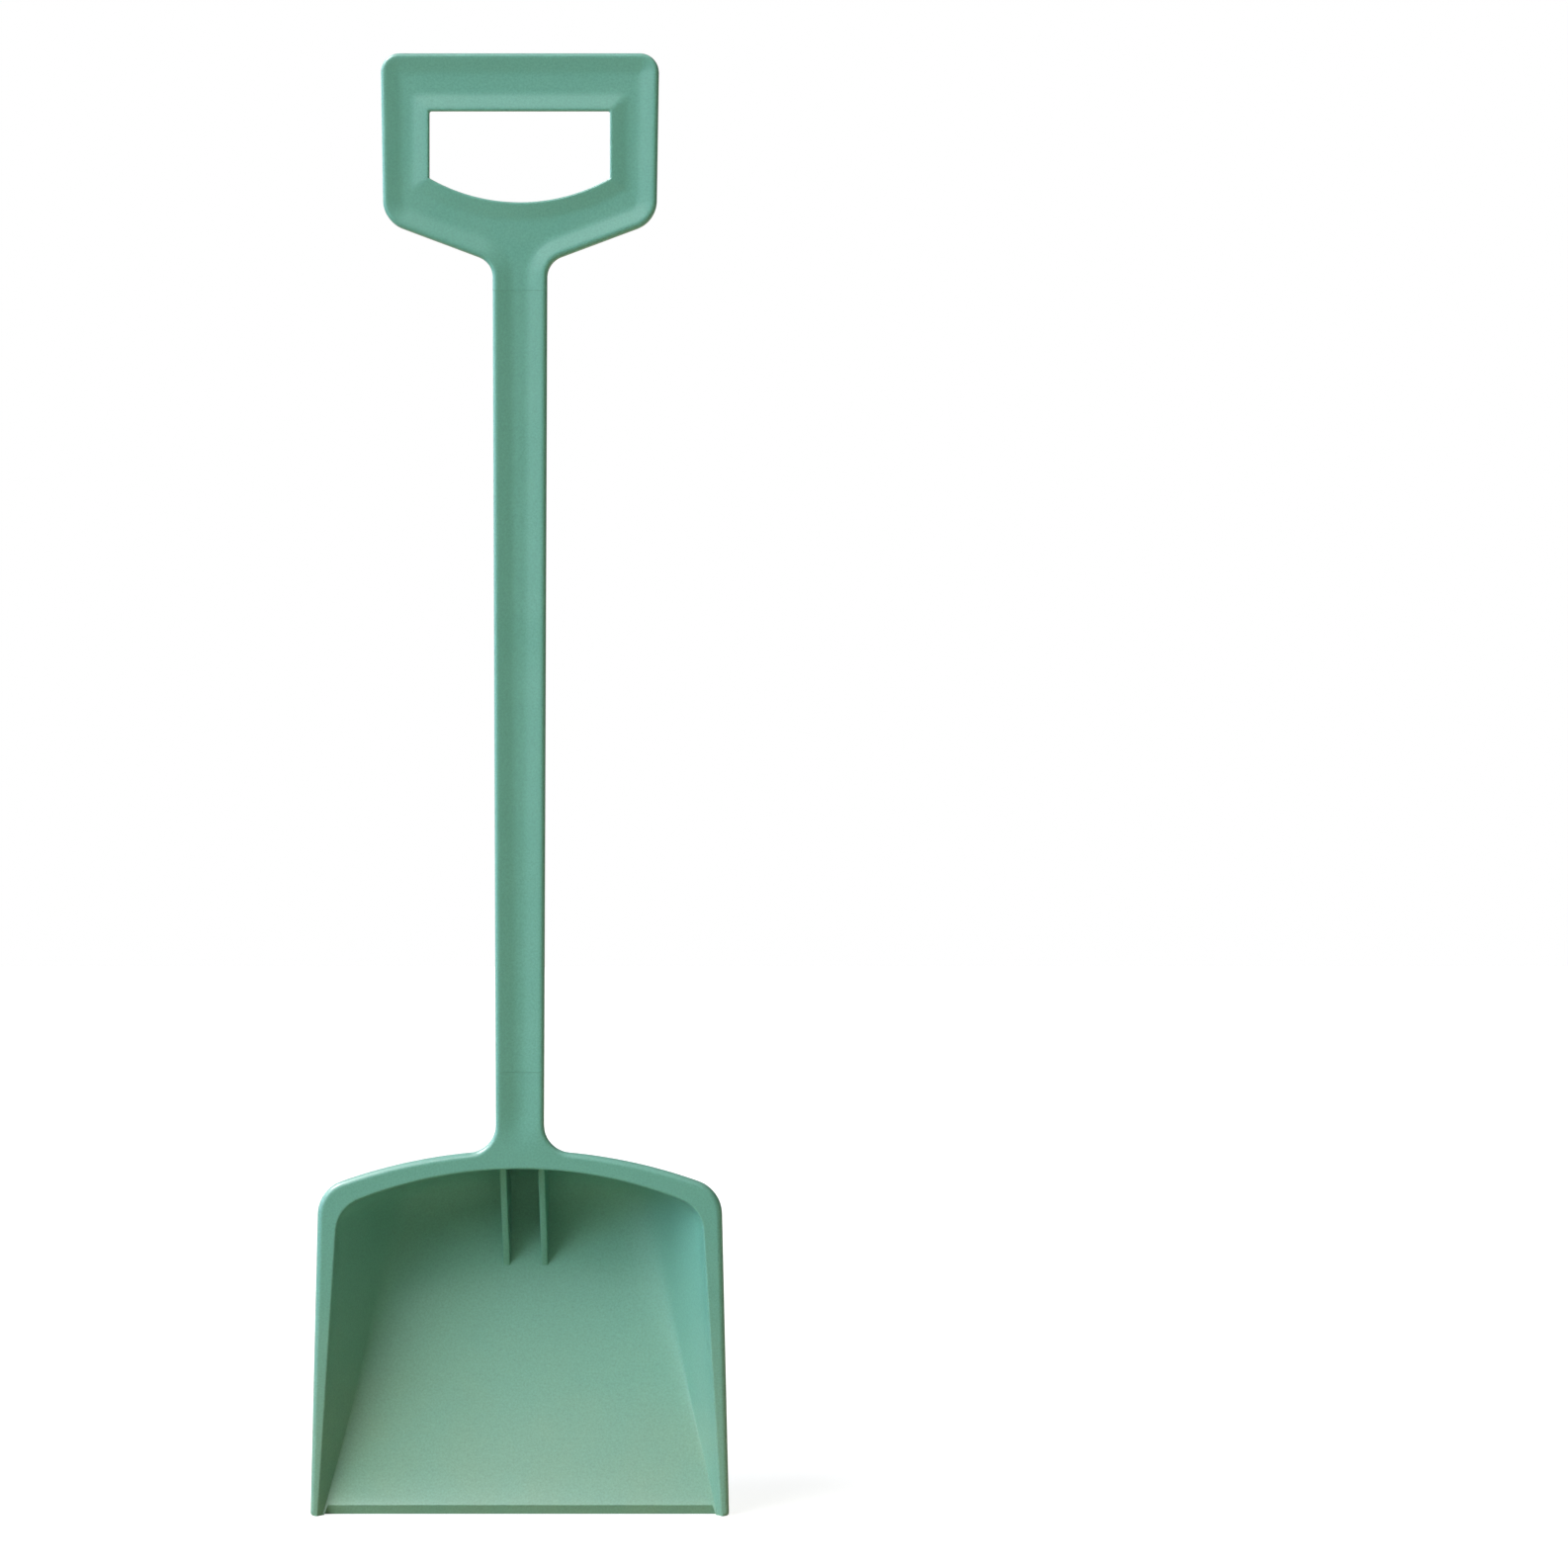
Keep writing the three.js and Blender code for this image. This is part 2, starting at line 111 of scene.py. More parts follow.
# Largest shares of the rim's width that its small forms and the pan's wall may take
LIP_SHARE = 0.62
MOUTH_SHARE = 0.3
WALL_SHARE = 0.55
ROOT_SHARE = 0.4
BACK_SHARE = 0.8

# The rim's run that begins at the shoulder, and where the mouth's last run begins, as a share of its place
SHOULDER_RUN = 4
SPLIT_SHARE = 0.85

# How closely the rows over the neck crowd together towards the mouth
ROW_CROWDING = 1.6

# Softness of the joint between the neck's back and the rim's, and width of the border inside each floor
BACK_SOFT = 1.2 * MM
FLOOR_RING = 1.5 * MM

# Column of the pan's rows that runs down to the top of the blade's bevel, and number of gussets
BEVEL_COLUMN = BLADE_STEPS + 1
GUSSETS = 2

# Blocks that cut the shaft's laps: their depth, and how much wider than the shaft they are
LAP_CUT = 20 * MM
LAP_MARGIN = 2 * MM

# Distance from the shaft's middle within which the taper spreads less
TAPER_EDGE = 0.1 * MM

# Blotches and grain of the plastic, and how much they sway its roughness and lift its surface
BLOTCHES = {"Detail": 3.0, "Roughness": 0.55}
GRAIN = {"Detail": 2.0, "Roughness": 0.6}
NOISE_MEAN = 0.5
ROUGHNESS_SWAY = 0.16
GRAIN_STRENGTH = 0.25
GLOSS = {"IOR": 1.5, "Specular IOR Level": 0.45}

# Depths between which the plastic turns from glossy rim to scuffed pan
SCUFF = {"From Min": FRONT_Y + 2 * MM, "From Max": FRONT_Y + 12 * MM}

# Offsets that keep the blotches of the three mouldings apart
GRIP_PATTERN = (0.0, 0.0, 0.0)
SHAFT_PATTERN = (0.3, 0.1, 0.2)
SCOOP_PATTERN = (0.7, 0.4, 0.1)

# Middles of the two bright patches of the surround, and how far they reach, as a cosine
FROM_ABOVE = (0.0, -0.3, 0.95)
FROM_LEFT = (-1.0, 0.0, 0.0)
PATCH_EDGE = 0.45

# Where the two glints come from, and the angles across them
GLINT_FROM = (-0.62, -0.1, 0.78)
GLINT_WIDTH = math.radians(14)
RIM_GLINT_FROM = (-0.23, -0.64, 0.73)
RIM_GLINT_WIDTH = math.radians(10)

# Stage: the camera's sensor in millimetres, and the floor's half width and colour
SENSOR_WIDTH = 36.0
FLOOR_REACH = 6.0
FLOOR_WHITE = (0.8, 0.8, 0.8, 1.0)
WHITE = (1.0, 1.0, 1.0, 1.0)

# Kinds of sockets for the values that node trees take
SOCKETS = {
    float: "NodeSocketFloat",
    int: "NodeSocketInt",
    tuple: "NodeSocketColor",
    bpy.types.Material: "NodeSocketMaterial",
}

Corner = namedtuple("Corner", "x z radius growth", defaults=(0.0, 1.0))

UP = Vector((0.0, 1.0))
ACROSS = Vector((1.0, 0.0))


def length(name, description, millimetres):
    """A length property, in metres, with its default given in millimetres."""
    return bpy.props.FloatProperty(
        name=name, description=description, default=millimetres * MM, unit="LENGTH", precision=4)


def angle(name, description, degrees):
    """An angle property, in radians, with its default given in degrees."""
    return bpy.props.FloatProperty(
        name=name, description=description, default=math.radians(degrees), subtype="ANGLE")


def number(name, description, default):
    """A plain number property."""
    return bpy.props.FloatProperty(name=name, description=description, default=default, precision=4)


def colour(name, description, default):
    """A linear colour property."""
    return bpy.props.FloatVectorProperty(
        name=name, description=description, default=default, subtype="COLOR", size=3, min=0.0, max=1.0)


def direction(name, description, default):
    """A direction property."""
    return bpy.props.FloatVectorProperty(
        name=name, description=description, default=default, subtype="DIRECTION")


class ShovelSection(bpy.types.PropertyGroup):
    """Sizes of the section that the three mouldings share."""

    lip_width: length("Lip width", "Width of the lip beside the trough", 2.4)
    lip_round: length("Lip rounding", "Radius of the lip's outer edge", 1.8)
    lip_soft: length("Lip softening", "Rounding between the lip and the trough's side", 0.14)
    trough_depth: length("Trough depth", "Depth of the trough below the lips", 1.5)
    trough_run: length("Trough run", "Width of the trough's sloping side", 7.2)
    floor_soft: length("Floor softening", "Rounding between the trough's side and floor", 0.38)
    back_rise: length("Back rise", "Depth of the back's rounded edge", 4.3)
    back_run: length("Back run", "Width of the back's rounded edge", 7.0)
    saddle_wall: length("Saddle wall", "Thickness of the tab behind each end of the shaft", 3.3)
    saddle_radius: length("Saddle radius", "Corner radius of the tabs' ends", 6.0)
    joint_gap: length("Joint gap", "Gap between mouldings at the lap joints", 0.3)
    butt_gap: length("Butt gap", "Gap left in sight at the butt lines", 0.08)
    pip_radius: length("Pip radius", "Radius of the snap pips", 3.0)
    pip_sink: length("Pip sink", "How far the pips lie below the back", 0.6)
    pips: bpy.props.IntProperty(name="Pips", description="Snap pips on each lap joint", default=2, min=1)
    low_width: length("Lower width", "Width of the shaft at its lower end", 23.1)


class ShovelGrip(bpy.types.PropertyGroup):
    """Sizes of the D grip."""

    opening_width: length("Opening width", "Width of the hand opening", 86.4)
    opening_side: length("Opening side", "Height of the opening's straight sides", 32.1)
    opening_sag: length("Opening sag", "Depth of the opening's bowed lower edge", 11.5)
    opening_corner: length("Opening corner", "Corner radius of the opening", 1.0)
    opening_lip: length("Opening lip", "Width of the lip around the opening", 1.3)
    opening_round: length("Opening rounding", "Radius of the opening's front edge", 0.9)
    opening_soft: length("Opening softening", "Rounding of the crease round the opening", 0.36)
    opening_back: length("Opening back", "Width of the opening's bevelled back edge", 6.0)
    opening_rise: length("Opening rise", "Depth of the opening's bevelled back edge", 7.4)
    bar_width: length("Bar width", "Width of the side bars at the top", 23.5)
    bar_lean: length("Bar lean", "How far each side leans in towards the bottom", 1.3)
    low_bar: length("Low bar", "Height of the low bar beside the opening", 20.3)
    slant: angle("Slant", "Slant of the low bar's underside", 20.5)
    top_radius: length("Top radius", "Radius of the upper corners", 9.0)
    low_radius: length("Low radius", "Radius of the lower corners", 14.5)
    neck_fillet: length("Neck fillet", "Fillet between the low bar and the neck", 10.5)


class ShovelScoop(bpy.types.PropertyGroup):
    """Sizes of the scoop."""

    neck_length: length("Neck length", "From the lower butt line to the top of the rim", 37.3)
    shoulder: length("Shoulder", "Fillet between the neck and the rim", 13.5)
    top_width: length("Top width", "Width between the rim's upper corners", 193.2)
    blade_width: length("Blade width", "Width at the blade's edge", 200.4)
    rim_thickness: length("Rim thickness", "Thickness of the flat rim", 4.2)
    rim_lip: length("Rim lip", "Radius of the rim's outer edge along the arch", 3.0)
    rim_lip_low: length("Lower rim lip", "Radius of the rim's outer edge at the blade", 2.1)
    rim_back: length("Rim back", "Rounding of the rim's back edge", 0.8)
    rim_arch: length("Rim arch", "Radius of the rim's arch", 254.0)
    rim_corner: length("Rim corner", "Radius of the rim's upper corners", 17.0)
    blade_corner: length("Blade corner", "Corner radius of the rim's lower ends", 1.5)
    fade_run: length("Fade run", "Length over which the neck's trough fades out", 22.0)
    fade_margin: length("Fade margin", "How far below the rim's top the trough ends", 3.0)
    mouth_arch: length("Mouth arch", "Radius of the mouth's arch", 210.0)
    width_at_arch: length("Rim at arch", "Width of the rim at the top of the arch", 8.9)
    width_at_corner: length("Rim at corner", "Width of the rim at its upper corners", 9.6)
    width_at_blade: length("Rim at blade", "Width of the rim at the blade", 4.0)
    mouth_corner: length("Mouth corner", "Radius of the pan's corners", 17.0)
    mouth_round: length("Mouth rounding", "Rounding of the mouth's edge", 1.0)
    wall: length("Wall", "Thickness of the pan's wall", 2.2)
    floor_low: length("Floor at blade", "Depth of the floor below the rim at the blade", 3.2)
    floor_slope: angle("Floor slope", "Slope of the floor against the rim", 21.5)
    side_flare: angle("Side flare", "Lean of the side walls", 27.0)
    top_draft: angle("Top draft", "Lean of the top wall", 5.0)
    wall_blend: number("Wall blend", "Share of a wall that its fillet takes at the deep end", 0.42)
    fillet_growth: number("Fillet growth", "How fast the side fillets grow away from the blade", 1.8)
    side_blend: length("Side blend", "Width of the fillet along the side walls' deep end", 12.0)
    top_blend: length("Top blend", "Width of the fillet along the top wall", 50.0)
    bevel_height: length("Bevel height", "Height of the blade's bevel", 5.5)
    bevel_bead: length("Bevel bead", "Height of the raised line along the top of the bevel", 0.25)
    edge_thickness: length("Edge thickness", "Thickness of the blade's edge", 1.0)
    root_fillet: length("Root fillet", "Fillet behind the rim, at the pan's wall", 1.5)
    gusset_spacing: length("Gusset spacing", "Distance between the gussets", 18.6)
    gusset_thickness: length("Gusset thickness", "Thickness of a gusset", 3.2)
    gusset_depth: length("Gusset depth", "Depth of a gusset's front edge at the top wall", 18.0)
    gusset_length: length("Gusset length", "Length of a gusset", 51.5)
    gusset_round: length("Gusset rounding", "Rounding of a gusset's edges", 0.5)


class ShovelPlastic(bpy.types.PropertyGroup):
    """Colours and surface of the plastic."""

    sage: colour("Sage green", "Main colour of the plastic", (0.119, 0.345, 0.268))
    # Painted light: the grip's paler, cooler green is a lit copy of the sage, standing in for the cool
    # window light that falls more strongly on the grip
    lit_grip_sage: colour("Lit grip green", "Colour of the grip, a little paler and cooler", (0.121, 0.362, 0.288))
    pale_sage: colour("Pale sage", "Lighter blotches left by the plastic's flow", (0.136, 0.370, 0.293))
    # Painted sheen: a warm grey mixed into the colour towards the blade stands in for the whitish
    # reflection on the brightly lit floor of the pan
    painted_sheen: colour("Painted sheen", "Colour of the dull film left near the blade", (0.235, 0.360, 0.235))
    painted_sheen_amount: number("Painted sheen amount", "How thick the film is at the blade", 0.48)
    painted_sheen_height: length("Painted sheen height", "How far up from the blade the film reaches", 150.0)
    mottle_size: length("Mottle size", "Size of the blotches", 28.0)
    grain_size: length("Grain size", "Size of the mould's fine grain", 0.9)
    grain_depth: length("Grain depth", "Height of the mould's fine grain", 0.012)
    speckle: number("Speckle", "How much the fine grain lightens and darkens the colour", 0.5)
    roughness: number("Roughness", "Mean roughness of the satin surface", 0.38)
    scuff: number("Scuff", "How much rougher the plastic is inside the pan", 0.25)


class ShovelStage(bpy.types.PropertyGroup):
    """Camera, light and floor."""

    camera_x: length("Camera x", "Camera's place to the right of the shaft", 126.5)
    camera_z: length("Camera height", "Camera's height against the hand opening's top", -322.0)
    camera_distance: length("Camera distance", "Distance of the camera from the rim", 2000.0)
    view_width: length("View width", "Width of the picture at the rim", 750.0)
    key_direction: direction("Key direction", "Where the key light comes from", (-0.65, -0.54, 0.545))
    key_colour: colour("Key colour", "Colour of the key light, a cool window", (0.9, 0.92, 0.92))
    key_strength: number("Key strength", "Strength of the key light", 3.2)
    key_softness: angle("Key softness", "Angle across the key light", 50.0)
    ambient_colour: colour("Ambient colour", "Colour of the light from all around", (1.0, 0.95, 0.72))
    ambient: number("Ambient", "Strength of the light from all around", 0.19)
    sheen: number("Sheen", "Brightness of the surround's upper patch in soft reflections", 2.5)
    side_sheen: number("Side sheen", "Brightness of the surround's left patch in soft reflections", 3.2)
    glint: number("Glint", "Strength of the window's glint on the lips", 8.0)
    rim_glint: number("Rim glint", "Strength of the glint along the rim's upper left edge", 1.0)
    side_direction: direction(
        "Side direction", "Where the weak cool light from the left comes from", (-0.96, -0.2, 0.2))
    side_colour: colour("Side colour", "Colour of the weak light from the left", (0.1, 0.3, 1.0))
    side_strength: number("Side strength", "Strength of the weak light from the left", 1.4)
    back_direction: direction(
        "Back direction", "Where the weak light on the back comes from", (-0.5, 0.72, 0.48))
    back_strength: number("Back strength", "Strength of the weak light on the back", 1.7)
    floor_shade: number("Floor shade", "Share of the floor's look that takes shadows", 0.6)
    floor_glow: number("Floor glow", "Brightness that keeps the floor white", 1.8)
    bounce_colour: colour("Bounce colour", "Colour of the light thrown up by the floor", (0.65, 0.58, 0.40))


def half_width(section, z):
    """Half the width of the shaft and necks at a height: both sides follow one straight taper."""
    gap = section.joint_gap
    top, low = SHAFT_HIGH.z + gap, SHAFT_LOW.z - gap
    share = (top - z) / (top - low)
    return SHAFT_HIGH.x + share * (section.low_width / 2 - SHAFT_HIGH.x)


def soft_max(first, second, reach):
    """The larger of two fields, rounded where they come within reach of each other."""
    near = np.maximum(reach - np.abs(first - second), 0.0) / reach
    return np.maximum(first, second) + near * near * reach / 4


def soft_min(first, second, reach):
    """The smaller of two fields, rounded where they come within reach of each other."""
    return -soft_max(-first, -second, reach)


def quarter_round(distance, radius):
    """Drop of a rounded edge at a distance from it: the whole radius at the edge, nothing further in."""
    short = np.clip(radius - distance, 0.0, radius)
    return radius - np.sqrt(radius * radius - short * short)


def round_steps(radius, steps=LIP_STEPS):
    """Distances from a rounded edge, close together near it, from the edge to the rounding's end."""
    return [radius * (1 - math.cos(math.pi / 2 * k / steps)) for k in range(steps + 1)]


def spread(start, end, steps):
    """Evenly spaced numbers from just after start up to end."""
    return [start + (end - start) * (k + 1) / steps for k in range(steps)]


def trough_drop(section, inset, lip, floor_soft):
    """Depth of the trough below a lip of some width at a distance from the moulding's edge."""
    inset = np.asarray(inset, float)
    slope = section.trough_depth / section.trough_run
    side = soft_max(slope * (inset - lip), np.zeros_like(inset), section.lip_soft)
    return soft_min(side, np.full_like(inset, section.trough_depth), floor_soft)


def front_profile(section, lip, lip_round, floor_soft):
    """The section's front as pairs of inset and depth, from the trough's flat floor out to the edge."""
    per_depth = section.trough_run / section.trough_depth
    slope_end = lip + (section.trough_depth + floor_soft) * per_depth
    insets = round_steps(lip_round)
    insets += spread(insets[-1], lip * LIP_REACH, LIP_FLAT_STEPS)
    insets += spread(insets[-1], slope_end - 2 * floor_soft * per_depth, SLOPE_STEPS)
    insets += spread(insets[-1], slope_end, SLOPE_FOOT_STEPS)
    depths = FRONT_Y + quarter_round(np.array(insets), lip_round)
    depths = depths + trough_drop(section, insets, lip, floor_soft)
    return list(zip(insets, depths))[::-1]


def back_rounding(section, inset):
    """Height of the section's back at a distance from the edge, falling away beyond the edge."""
    inset = np.asarray(inset, float)
    share = np.clip((section.back_run - inset) / section.back_run, 0.0, 1.0)
    beyond = np.minimum(inset, 0.0) * EDGE_FALL
    return BACK_Y - section.back_rise * (1 - np.sqrt(1 - share * share)) + beyond


def lap_inset(section):
    """Distance from the edge at which the back's rounding crosses the lap plane."""
    rise = 1 - section.saddle_wall / section.back_rise
    return section.back_run * (1 - math.sqrt(1 - rise * rise))


def back_profile(section):
    """The section's back as pairs of inset and depth, from the edge to the flat; the second is the lap."""
    lap = lap_inset(section)
    rounding = round_steps(section.back_run, BACK_ROUND_STEPS)
    insets = [0.0, lap] + [i for i in rounding if i > lap * LAP_CLEAR]
    return list(zip(insets, back_rounding(section, insets)))


def crossing(first, first_along, second, second_along):
    """Where two lines in the plan cross."""
    reach = (second - first).cross(second_along) / first_along.cross(second_along)
    return first + first_along * reach


def arc(centre, begin, turn, steps=ARC_STEPS):
    """Points of an arc in the plan, from a point on it, both ends included."""
    spoke = begin - centre
    return [centre + Matrix.Rotation(turn * k / steps, 2) @ spoke for k in range(steps + 1)]


def arc_between(centre, begin, end, steps=ARC_STEPS):
    """Points of the shorter arc in the plan between two points on it."""
    first, last = begin - centre, end - centre
    return arc(centre, begin, math.atan2(first.cross(last), first.dot(last)), steps)


def straight(begin, end, steps):
    """Points of a straight line in the plan, both ends included."""
    return [begin.lerp(end, k / steps) for k in range(steps + 1)]


def rounded_path(corners, inset, start_cut, end_cut):
    """Points of straight edges with rounded corners, moved to the left of their direction by an inset.

    The path's ends slide along the two cuts. A corner's growth says how far its radius follows the inset.
    """
    spots = [Vector((c.x, c.z)) for c in corners]
    along = [(b - a).normalized() for a, b in zip(spots, spots[1:])]
    bases = [a + t.orthogonal() * inset for a, t in zip(spots, along)]
    points = [crossing(bases[0], along[0], spots[0], start_cut)]
    for i, after in enumerate(along[1:], 1):
        before = along[i - 1]
        peak = crossing(bases[i - 1], before, bases[i], after)
        if corners[i].radius == 0:
            points.append(peak)
            continue
        turn = math.atan2(before.cross(after), before.dot(after))
        side = math.copysign(1.0, turn)
        least = min(LEAST_RADIUS, corners[i].radius)
        radius = max(corners[i].radius - side * corners[i].growth * inset, least)
        begin = peak - before * radius * math.tan(abs(turn) / 2)
        centre = begin + before.orthogonal() * side * radius
        points += arc(centre, begin, turn)
    points.append(crossing(bases[-1], along[-1], spots[-1], end_cut))
    return points


def at_depth(points, depth):
    """Plan points placed at one depth."""
    return [(p.x, depth, p.y) for p in points]


class Shell:
    """Half of a closed moulding, on the +x side, gathered patch by patch and mirrored at the end."""

    def __init__(self):
        self.points = []
        self.faces = []

    def place(self, points):
        """Adds points and gives the number of the first."""
        first = len(self.points)
        self.points.extend(tuple(map(float, p)) for p in points)
        return first

    def grid(self, rows):
        """Quads over rows of points that all have the same length."""
        width = len(rows[0])
        first = self.place(p for row in rows for p in row)
        for row in range(len(rows) - 1):
            for column in range(width - 1):
                a = first + row * width + column
                self.faces.append((a, a + 1, a + 1 + width, a + width))

    def fill(self, loop):
        """One flat face inside a loop of points."""
        first = self.place(loop)
        self.faces.append(tuple(range(first, len(self.points))))

    def mesh(self, name):
        """Both halves as one closed mesh with its faces pointing out."""
        built = bmesh.new()
        for side in (1.0, -1.0):
            corners = [built.verts.new((side * x, y, z)) for x, y, z in self.points]
            for face in self.faces:
                built.faces.new([corners[i] for i in face])
        bmesh.ops.remove_doubles(built, verts=built.verts, dist=MERGE_DISTANCE)
        bmesh.ops.dissolve_degenerate(built, dist=MERGE_DISTANCE / 4, edges=built.edges)
        wide = [f for f in built.faces if len(f.verts) > 4]
        bmesh.ops.triangulate(built, faces=wide, ngon_method="EAR_CLIP")
        bmesh.ops.recalc_face_normals(built, faces=built.faces)
        mesh = bpy.data.meshes.new(name)
        built.to_mesh(mesh)
        built.free()
        return mesh


def finish_piece(name, mesh, node, material):
    """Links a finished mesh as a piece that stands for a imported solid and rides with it."""
    mesh.shade_smooth()
    mesh.set_sharp_from_angle(angle=SHARP_ANGLE)
    mesh.materials.clear()
    mesh.materials.append(material)
    piece = bpy.data.objects.new(name, mesh)
    bpy.context.scene.collection.objects.link(piece)
    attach(piece, BODY)
    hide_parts(node)
    return piece


def pip_heights(section, butt, end):
    """Heights of the snap pips on one lap joint."""
    return [butt + (end - butt) * (i + 1) / (section.pips + 1) for i in range(section.pips)]


def axis_with_holes(section, depth, begin, end):
    """Points down the middle of a tab at one depth, stepping round each half hole for a pip."""
    radius = section.pip_radius + section.joint_gap
    heading = math.copysign(1.0, end - begin)
    points = [(0.0, depth, begin)]
    for z in pip_heights(section, begin, end):
        points += hole_edge(radius, depth, z, heading)
    return points + [(0.0, depth, end)]


def hole_edge(radius, depth, z, heading):
    """Half of a round hole's edge on the +x side."""
    turns = [math.pi * k / PIP_STEPS for k in range(PIP_STEPS + 1)]
    return [(radius * math.sin(a), depth, z - heading * radius * math.cos(a)) for a in turns]


def add_tab(shell, section, edge, butt, end):
    """A neck's tab behind the shaft's end, with holes for the pips.

    The edge is the neck's back at the butt line, as (x, depth) points from the lap plane to the middle.
    """
    lap = BACK_Y - section.saddle_wall
    heading = math.copysign(1.0, end - butt)
    radius = section.saddle_radius

    def end_point(x):
        scale = half_width(section, end) / half_width(section, butt)
        excess = max(0.0, x * scale - (half_width(section, end) - radius))
        return x * scale, end - heading * (radius - math.sqrt(max(radius ** 2 - excess ** 2, 0.0)))

    tips = [(*end_point(x), depth) for x, depth in edge]
    back_tips = [(x, depth, z) for x, z, depth in tips]
    lap_tips = [(x, lap, z) for x, z, depth in tips]
    butts = [(x, depth, butt) for x, depth in edge]
    flat = next(i for i, (x, depth) in enumerate(edge) if depth > BACK_Y - MERGE_DISTANCE)
    shell.grid([butts[:flat + 1], back_tips[:flat + 1]])
    shell.grid([back_tips, lap_tips])
    back_axis = axis_with_holes(section, BACK_Y, butt, end)
    lap_axis = axis_with_holes(section, lap, butt, end)
    shell.fill(butts[flat:-1] + back_axis + back_tips[flat:-1][::-1])
    shell.fill([(edge[0][0], lap, butt)] + lap_axis + lap_tips[:-1][::-1])
    for z in pip_heights(section, butt, end):
        hole = section.pip_radius + section.joint_gap
        shell.grid([hole_edge(hole, depth, z, heading) for depth in (lap, BACK_Y)])


def grip_corners(section, grip, butt):
    """Outline of the grip's right half, from the neck's butt line round to the middle of the top bar."""
    half_top = grip.opening_width / 2 + grip.bar_width
    half_low = half_top - grip.bar_lean
    low_z = -grip.opening_side - grip.low_bar
    neck_z = low_z - (half_low - SHAFT_HIGH.x) * math.tan(grip.slant)
    return [
        Corner(half_width(section, butt), butt),
        Corner(half_width(section, neck_z), neck_z, grip.neck_fillet),
        Corner(half_low, low_z, grip.low_radius),
        Corner(half_top, GRIP_TOP_Z, grip.top_radius),
        Corner(0.0, GRIP_TOP_Z),
    ]


def opening_corners(grip):
    """Outline of the hand opening's right half, from the middle of its top to the middle of its bow."""
    half = grip.opening_width / 2
    radius = (half ** 2 + grip.opening_sag ** 2) / (2 * grip.opening_sag)
    centre_z = radius - grip.opening_side - grip.opening_sag
    sweep = math.asin(half / radius)
    bow = [sweep * (1 - k / SAG_STEPS) for k in range(1, SAG_STEPS + 1)]
    return [
        Corner(0.0, 0.0),
        Corner(half, 0.0, grip.opening_corner, OPENING_GROWTH),
        Corner(half, -grip.opening_side, grip.opening_corner, OPENING_GROWTH),
        *[Corner(radius * math.sin(a), centre_z - radius * math.cos(a)) for a in bow],
    ]


def grip_shell(section, grip):
    """The D grip: a trough-section ring round the hand opening, with a neck and a tab below."""
    shell = Shell()
    butt = SHAFT_HIGH.z + section.joint_gap
    corners = grip_corners(section, grip, butt)
    opening = opening_corners(grip)
    front = front_profile(section, section.lip_width, section.lip_round, section.floor_soft)
    back = back_profile(section)
    hole_front = front_profile(section, grip.opening_lip, grip.opening_round, grip.opening_soft)
    outer = [at_depth(rounded_path(corners, i, ACROSS, UP), y) for i, y in front + back]
    hole_back = []
    for share in np.linspace(0.0, 1.0, LIP_STEPS + 1):
        rise = grip.opening_rise * (1 - share) ** OPENING_CURVE
        hole_back.append((grip.opening_back * share, BACK_Y - rise))
    inner = [at_depth(rounded_path(opening, i, UP, UP), y) for i, y in hole_front + hole_back]
    shell.grid(outer)
    shell.grid(inner)
    shell.fill(outer[0] + inner[0] + [(0.0, outer[0][0][1], butt)])
    lap_row = len(front) + 1
    edge = [(row[0][0], row[0][1]) for row in outer[lap_row:]] + [(0.0, BACK_Y)]
    shell.fill(outer[-1] + inner[-1] + [(0.0, BACK_Y, butt)])
    lap = BACK_Y - section.saddle_wall
    shell.fill([row[0] for row in outer[:lap_row + 1]] + [(0.0, lap, butt), (0.0, front[0][1], butt)])
    add_tab(shell, section, edge, butt, UPPER_TAB_Z)
    return shell


def arch_height(radius, top, x):
    """Height of an arch above a place across it."""
    return top - radius + math.sqrt(radius ** 2 - x ** 2)


def fillet_centre(base, along, offset, centre, reach):
    """Upper point that lies on a line moved left by an offset, at a distance from an arch's centre."""
    start = base + along.orthogonal() * offset - centre
    middle = start.dot(along)
    step = math.sqrt(middle ** 2 - start.length_squared + reach ** 2)
    return centre + start + along * (step - middle)


def upper_corner(foot, side, radius, centre, arch):
    """Centre and both ends of the rounding between a side, from its foot up, and an arch."""
    knee = fillet_centre(foot, side, radius, centre, arch - radius)
    return knee, knee - side.orthogonal() * radius, centre + (knee - centre).normalized() * arch


def joined(runs):
    """One list from runs that each begin where the last one ended."""
    return runs[0] + [point for run in runs[1:] for point in run[1:]]


def scoop_heights(section, scoop):
    """Heights of the scoop's butt line, the top of its rim's arch and the top of its mouth."""
    butt = SHAFT_LOW.z - section.joint_gap
    arch_top = butt - scoop.neck_length
    return butt, arch_top, arch_top - scoop.width_at_arch


def floor_depth(scoop, z):
    """Depth of the pan's floor below the rim's face, growing from the blade towards the shaft."""
    return scoop.floor_low + (z - BLADE_Z) * math.tan(scoop.floor_slope)


def heel_height(scoop):
    """Height of the top of the blade's bevel."""
    return BLADE_Z + scoop.bevel_height


def pan_back(scoop, z):
    """Depth of the pan's back at a height; below the top of the bevel it stays level."""
    thickness = scoop.wall / math.cos(scoop.floor_slope)
    return FRONT_Y + floor_depth(scoop, np.maximum(z, heel_height(scoop))) + thickness


def deep_corner(section, scoop):
    """The mouth's upper corner: its place across, its height and the floor's depth below it."""
    x = scoop.top_width / 2 - scoop.width_at_corner
    z = arch_height(scoop.mouth_arch, scoop_heights(section, scoop)[2], x)
    return x, z, floor_depth(scoop, z)


